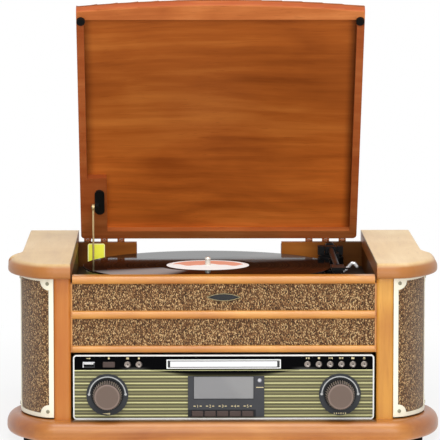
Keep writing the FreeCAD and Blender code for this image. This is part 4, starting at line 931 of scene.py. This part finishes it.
# printed marks: each shape's corners and turn, and each sign's shapes with their places and sizes
# places and sizes of signs are shares of the mark size, the rest are metres
markLook = {"thick": 0.00012, "level": 0.1039, "size": 0.0023, "menuLevel": 0.0477, "digit": 0.0046,
            "digitDrop": 0.35, "dash": (0.0024, 0.0009), "dashAway": 0.0036, "sensorBar": (0.0086, 0.0009),
            "sensorPlace": (0.0421, 0.0133), "dialDrop": 0.0222, "volumeWedge": (0.0125, 0.0022),
            "ticks": 6, "tickPitch": 0.0026, "tickWide": 0.0012, "tickTall": (0.0014, 0.002)}
markShapes = {"dot": (20, 0.0), "disc": (24, 0.0), "bar": (4, math.pi / 4), "up": (3, 0.0),
              "right": (3, -math.pi / 2), "left": (3, math.pi / 2)}
markSigns = {
    "record_button": [("dot", 0, 0, 1, 1)],
    "function_button": [("bar", 0, 0.33, 1.5, 0.25), ("bar", 0, 0, 1.5, 0.25), ("bar", 0, -0.33, 1.5, 0.25)],
    "play_button": [("right", -0.55, 0, 1, 1), ("bar", 0.385, 0, 0.28, 1), ("bar", 0.88, 0, 0.28, 1)],
    "stop_button": [("bar", 0, 0, 1, 1)],
    "next_button": [("right", -0.55, 0, 1, 1), ("right", 0.44, 0, 1, 1), ("bar", 1.1, 0, 0.28, 1)],
    "previous_button": [("left", 0.55, 0, 1, 1), ("left", -0.44, 0, 1, 1), ("bar", -1.1, 0, 0.28, 1)],
    "folder_button": [("bar", 0, -0.1, 1.5, 0.8), ("bar", -0.4, 0.45, 0.6, 0.25)],
    "eject_button": [("up", 0, 0.2, 1.2, 0.8), ("bar", 0, -0.45, 1.2, 0.25)],
    "power_button": [("disc", 0, 0, 1, 1), ("bar", 0, 0.75, 0.25, 0.6)],
    "usb_socket": [("right", 0.5, 0, 1, 0.9), ("bar", -0.5, 0, 1.4, 0.25)]}
markInk = plasticFinish("markInk", tint(222, 206, 158), 0.5, mottle=0.06).material
fasciaFront, ringFront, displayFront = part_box("fascia_panel")[0].y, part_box("dial_rings")[0].y, moduleLow.y


# a flat outline, stretched to its size and given a little thickness
def mark(shape, x, z, wide, tall, face):
    corners, turn = markShapes[shape]
    deselect()
    bpy.ops.mesh.primitive_circle_add(vertices=corners, radius=0.5, fill_type="NGON", rotation=(0, 0, turn))
    settle()
    piece = named("mark")
    reach = [max(abs(vertex.co[axis]) for vertex in piece.data.vertices) for axis in (0, 1)]
    piece.scale = (wide / 2 / reach[0], tall / 2 / reach[1], 1)
    settle()
    piece.rotation_euler = (math.pi / 2, 0, 0)
    piece.location = (x, face, z)
    settle()
    shaping()
    pushForward(markLook["thick"])
    shaped(0.4)
    return piece


def digit(x, z, text, face):
    deselect()
    bpy.ops.object.text_add()
    words = bpy.context.object
    words.data.body, words.data.size, words.data.align_x = text, markLook["digit"], "CENTER"
    words.data.extrude = markLook["thick"] / 2
    bpy.ops.object.convert(target="MESH")
    words.rotation_euler = (math.pi / 2, 0, 0)
    words.location = (x, face - markLook["thick"] / 2, z - markLook["digit"] * markLook["digitDrop"])
    settle()
    return named("mark")


marks = []
for name, shapes in markSigns.items():
    for shape, *share in shapes:
        right, rise, wide, tall = [part * markLook["size"] for part in share]
        marks.append(mark(shape, middle(name).x + right, markLook["level"] + rise, wide, tall, fasciaFront))
for i, name in enumerate(menuButtons):
    spot = middle(name).x
    marks.append(digit(spot, markLook["menuLevel"], str(i + 1), displayFront))
    for way in (-1, 1):
        marks.append(mark("bar", spot + way * markLook["dashAway"], markLook["menuLevel"], *markLook["dash"],
                          displayFront))
sensorX, sensorDrop = markLook["sensorPlace"]
marks.append(mark("bar", sensorX, moduleHigh.z - sensorDrop, *markLook["sensorBar"], displayFront))
dialFoot = knobPlace.z - markLook["dialDrop"]
marks.append(mark("left", -knobPlace.x, dialFoot, *markLook["volumeWedge"], ringFront))
for i in range(markLook["ticks"]):
    tickX = knobPlace.x + (i - (markLook["ticks"] - 1) / 2) * markLook["tickPitch"]
    marks.append(mark("bar", tickX, dialFoot, markLook["tickWide"], markLook["tickTall"][i % 2], ringFront))
prints = join(marks, "fasciaMarks")
finished(prints, markInk, "cabinet", "fascia_print")
print("marks done")


# a grid laid along a path in plan, from a lower to an upper level, its map in metres
def clothSheet(name, look, path):
    deselect()
    across, up = look["parts"]
    bpy.ops.mesh.primitive_grid_add(x_subdivisions=across, y_subdivisions=up, size=1)
    piece = named(name)
    for vertex in piece.data.vertices:
        place = path((vertex.co.x + 0.5) * look["width"])
        vertex.co = (place[0], place[1], look["low"] + (vertex.co.y + 0.5) * look["height"])
    for spot in piece.data.uv_layers.active.data:
        spot.uv = (spot.uv[0] * look["width"], spot.uv[1] * look["height"])
    shaping()
    selectAll()
    bpy.ops.mesh.normals_make_consistent(inside=False)
    bpy.ops.object.mode_set(mode="OBJECT")
    thick = piece.modifiers.new("thick", "SOLIDIFY")
    thick.thickness, thick.offset = clothLook["thick"], 0.0
    bpy.ops.object.modifier_apply(modifier="thick")
    bpy.ops.object.shade_smooth_by_angle(angle=0.6)
    return piece


frontLow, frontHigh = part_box("front_cloths")
frontLook = {"width": frontHigh.x - frontLow.x, "height": 0.0315, "parts": (88, 8),
             "face": (frontLow.y + frontHigh.y) / 2}
frontRows = {"frontClothLower": frontLow.z, "frontClothUpper": frontHigh.z - frontLook["height"]}
for name, low in frontRows.items():
    strip = clothSheet(name, {**frontLook, "low": low}, lambda run: (frontLow.x + run, frontLook["face"]))
    finished(strip, speakerCloth, "cabinet", "speaker_cloth", "front_cloths")

grilleLow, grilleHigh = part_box("grille_cloths")
grilleLook = {"inset": 0.002, "low": grilleLow.z, "height": grilleHigh.z - grilleLow.z, "parts": (60, 40)}
bends = (cornerLook["tight"] + cornerLook["sweep"] - 2 * grilleLook["inset"]) * math.pi / 4
grilleLook["width"] = bends + grilleHigh.y - frameLow.y - cornerLook["deep"]
for side, name in ((1, "grilleClothRight"), (-1, "grilleClothLeft")):
    wrap = clothSheet(name, grilleLook, lambda run: cornerPlace(run, grilleLook["inset"], side)[0])
    finished(wrap, speakerCloth, "cabinet", "speaker_cloth", "grille_cloths")
print("cloth done")

# camera
cameraLook = {"lens": 278.2, "sensor": 36.0, "sight": 50.0, "place": (-0.0522, -4.0875, 0.6884), "tilt": 83.85,
              "swing": -0.7}
cameraData = bpy.data.cameras.new("camera")
cameraData.lens, cameraData.sensor_width = cameraLook["lens"], cameraLook["sensor"]
cameraData.clip_end = cameraLook["sight"]
camera = bpy.data.objects.new("camera", cameraData)
camera.location = cameraLook["place"]
camera.rotation_euler = (math.radians(cameraLook["tilt"]), 0.0, math.radians(cameraLook["swing"]))
scene.collection.objects.link(camera)
scene.camera = camera


# one for what is seen directly, mirrored or through glass, nothing for the rest
def whiteShare(tree):
    path = tree.nodes.new("ShaderNodeLightPath")
    seen = Wire(tree, path.outputs["Is Camera Ray"]).either(Wire(tree, path.outputs["Is Glossy Ray"]))
    return seen.either(Wire(tree, path.outputs["Is Transmission Ray"]))


# floor: pale, whiter the farther it is from the object
stageLook = {"size": 12, "paint": (0.86, 0.86, 0.86, 1.0), "nearWhite": 0.84, "nearReach": 0.35, "farReach": 0.9,
             "worldLight": 0.34}
deselect()
bpy.ops.mesh.primitive_plane_add(size=stageLook["size"])
floor = named("floor")
f = Finish("floorPaint", {"Base Color": stageLook["paint"], "Roughness": 0.9})
x, y, z = f.axes()
far = f.step(f.length(x, y), stageLook["nearReach"], stageLook["farReach"])
white = stageLook["nearWhite"] + far * (1 - stageLook["nearWhite"])
glow = f.node("Emission", sockets={"Color": (1, 1, 1, 1), "Strength": 1.0})
paint = Wire(f.tree, f.shader.outputs[0])
blend = f.node("MixShader", sockets={0: whiteShare(f.tree) * white, 1: paint, 2: glow})
plug(f.tree, f.tree.nodes["Material Output"].inputs["Surface"], blend)
floor.data.materials.append(f.material)

world = bpy.data.worlds.new("studio")
scene.world = world
world.use_nodes = True
tree = world.node_tree
back = tree.nodes["Background"]
back.inputs["Color"].default_value = (1, 1, 1, 1)
share = whiteShare(tree)
plug(tree, back.inputs["Strength"], share + (1 - share) * stageLook["worldLight"])

lampAim = Vector((0, 0, 0.15))
lampLook = {"key": {"place": (-0.5, -3.0, 1.9), "size": 1.4, "power": 29},
            "front": {"place": (0.5, -3.3, 0.6), "size": 1.6, "power": 31},
            "top": {"place": (0.1, -0.9, 2.4), "size": 1.2, "power": 32}}
for name, look in lampLook.items():
    light = bpy.data.lights.new(name, "AREA")
    light.size, light.energy = look["size"], look["power"]
    lamp = bpy.data.objects.new(name, light)
    lamp.location = look["place"]
    lamp.rotation_euler = (lampAim - lamp.location).to_track_quat("-Z", "Y").to_euler()
    scene.collection.objects.link(lamp)
scene.view_settings.view_transform = "Standard"
print("stage done")
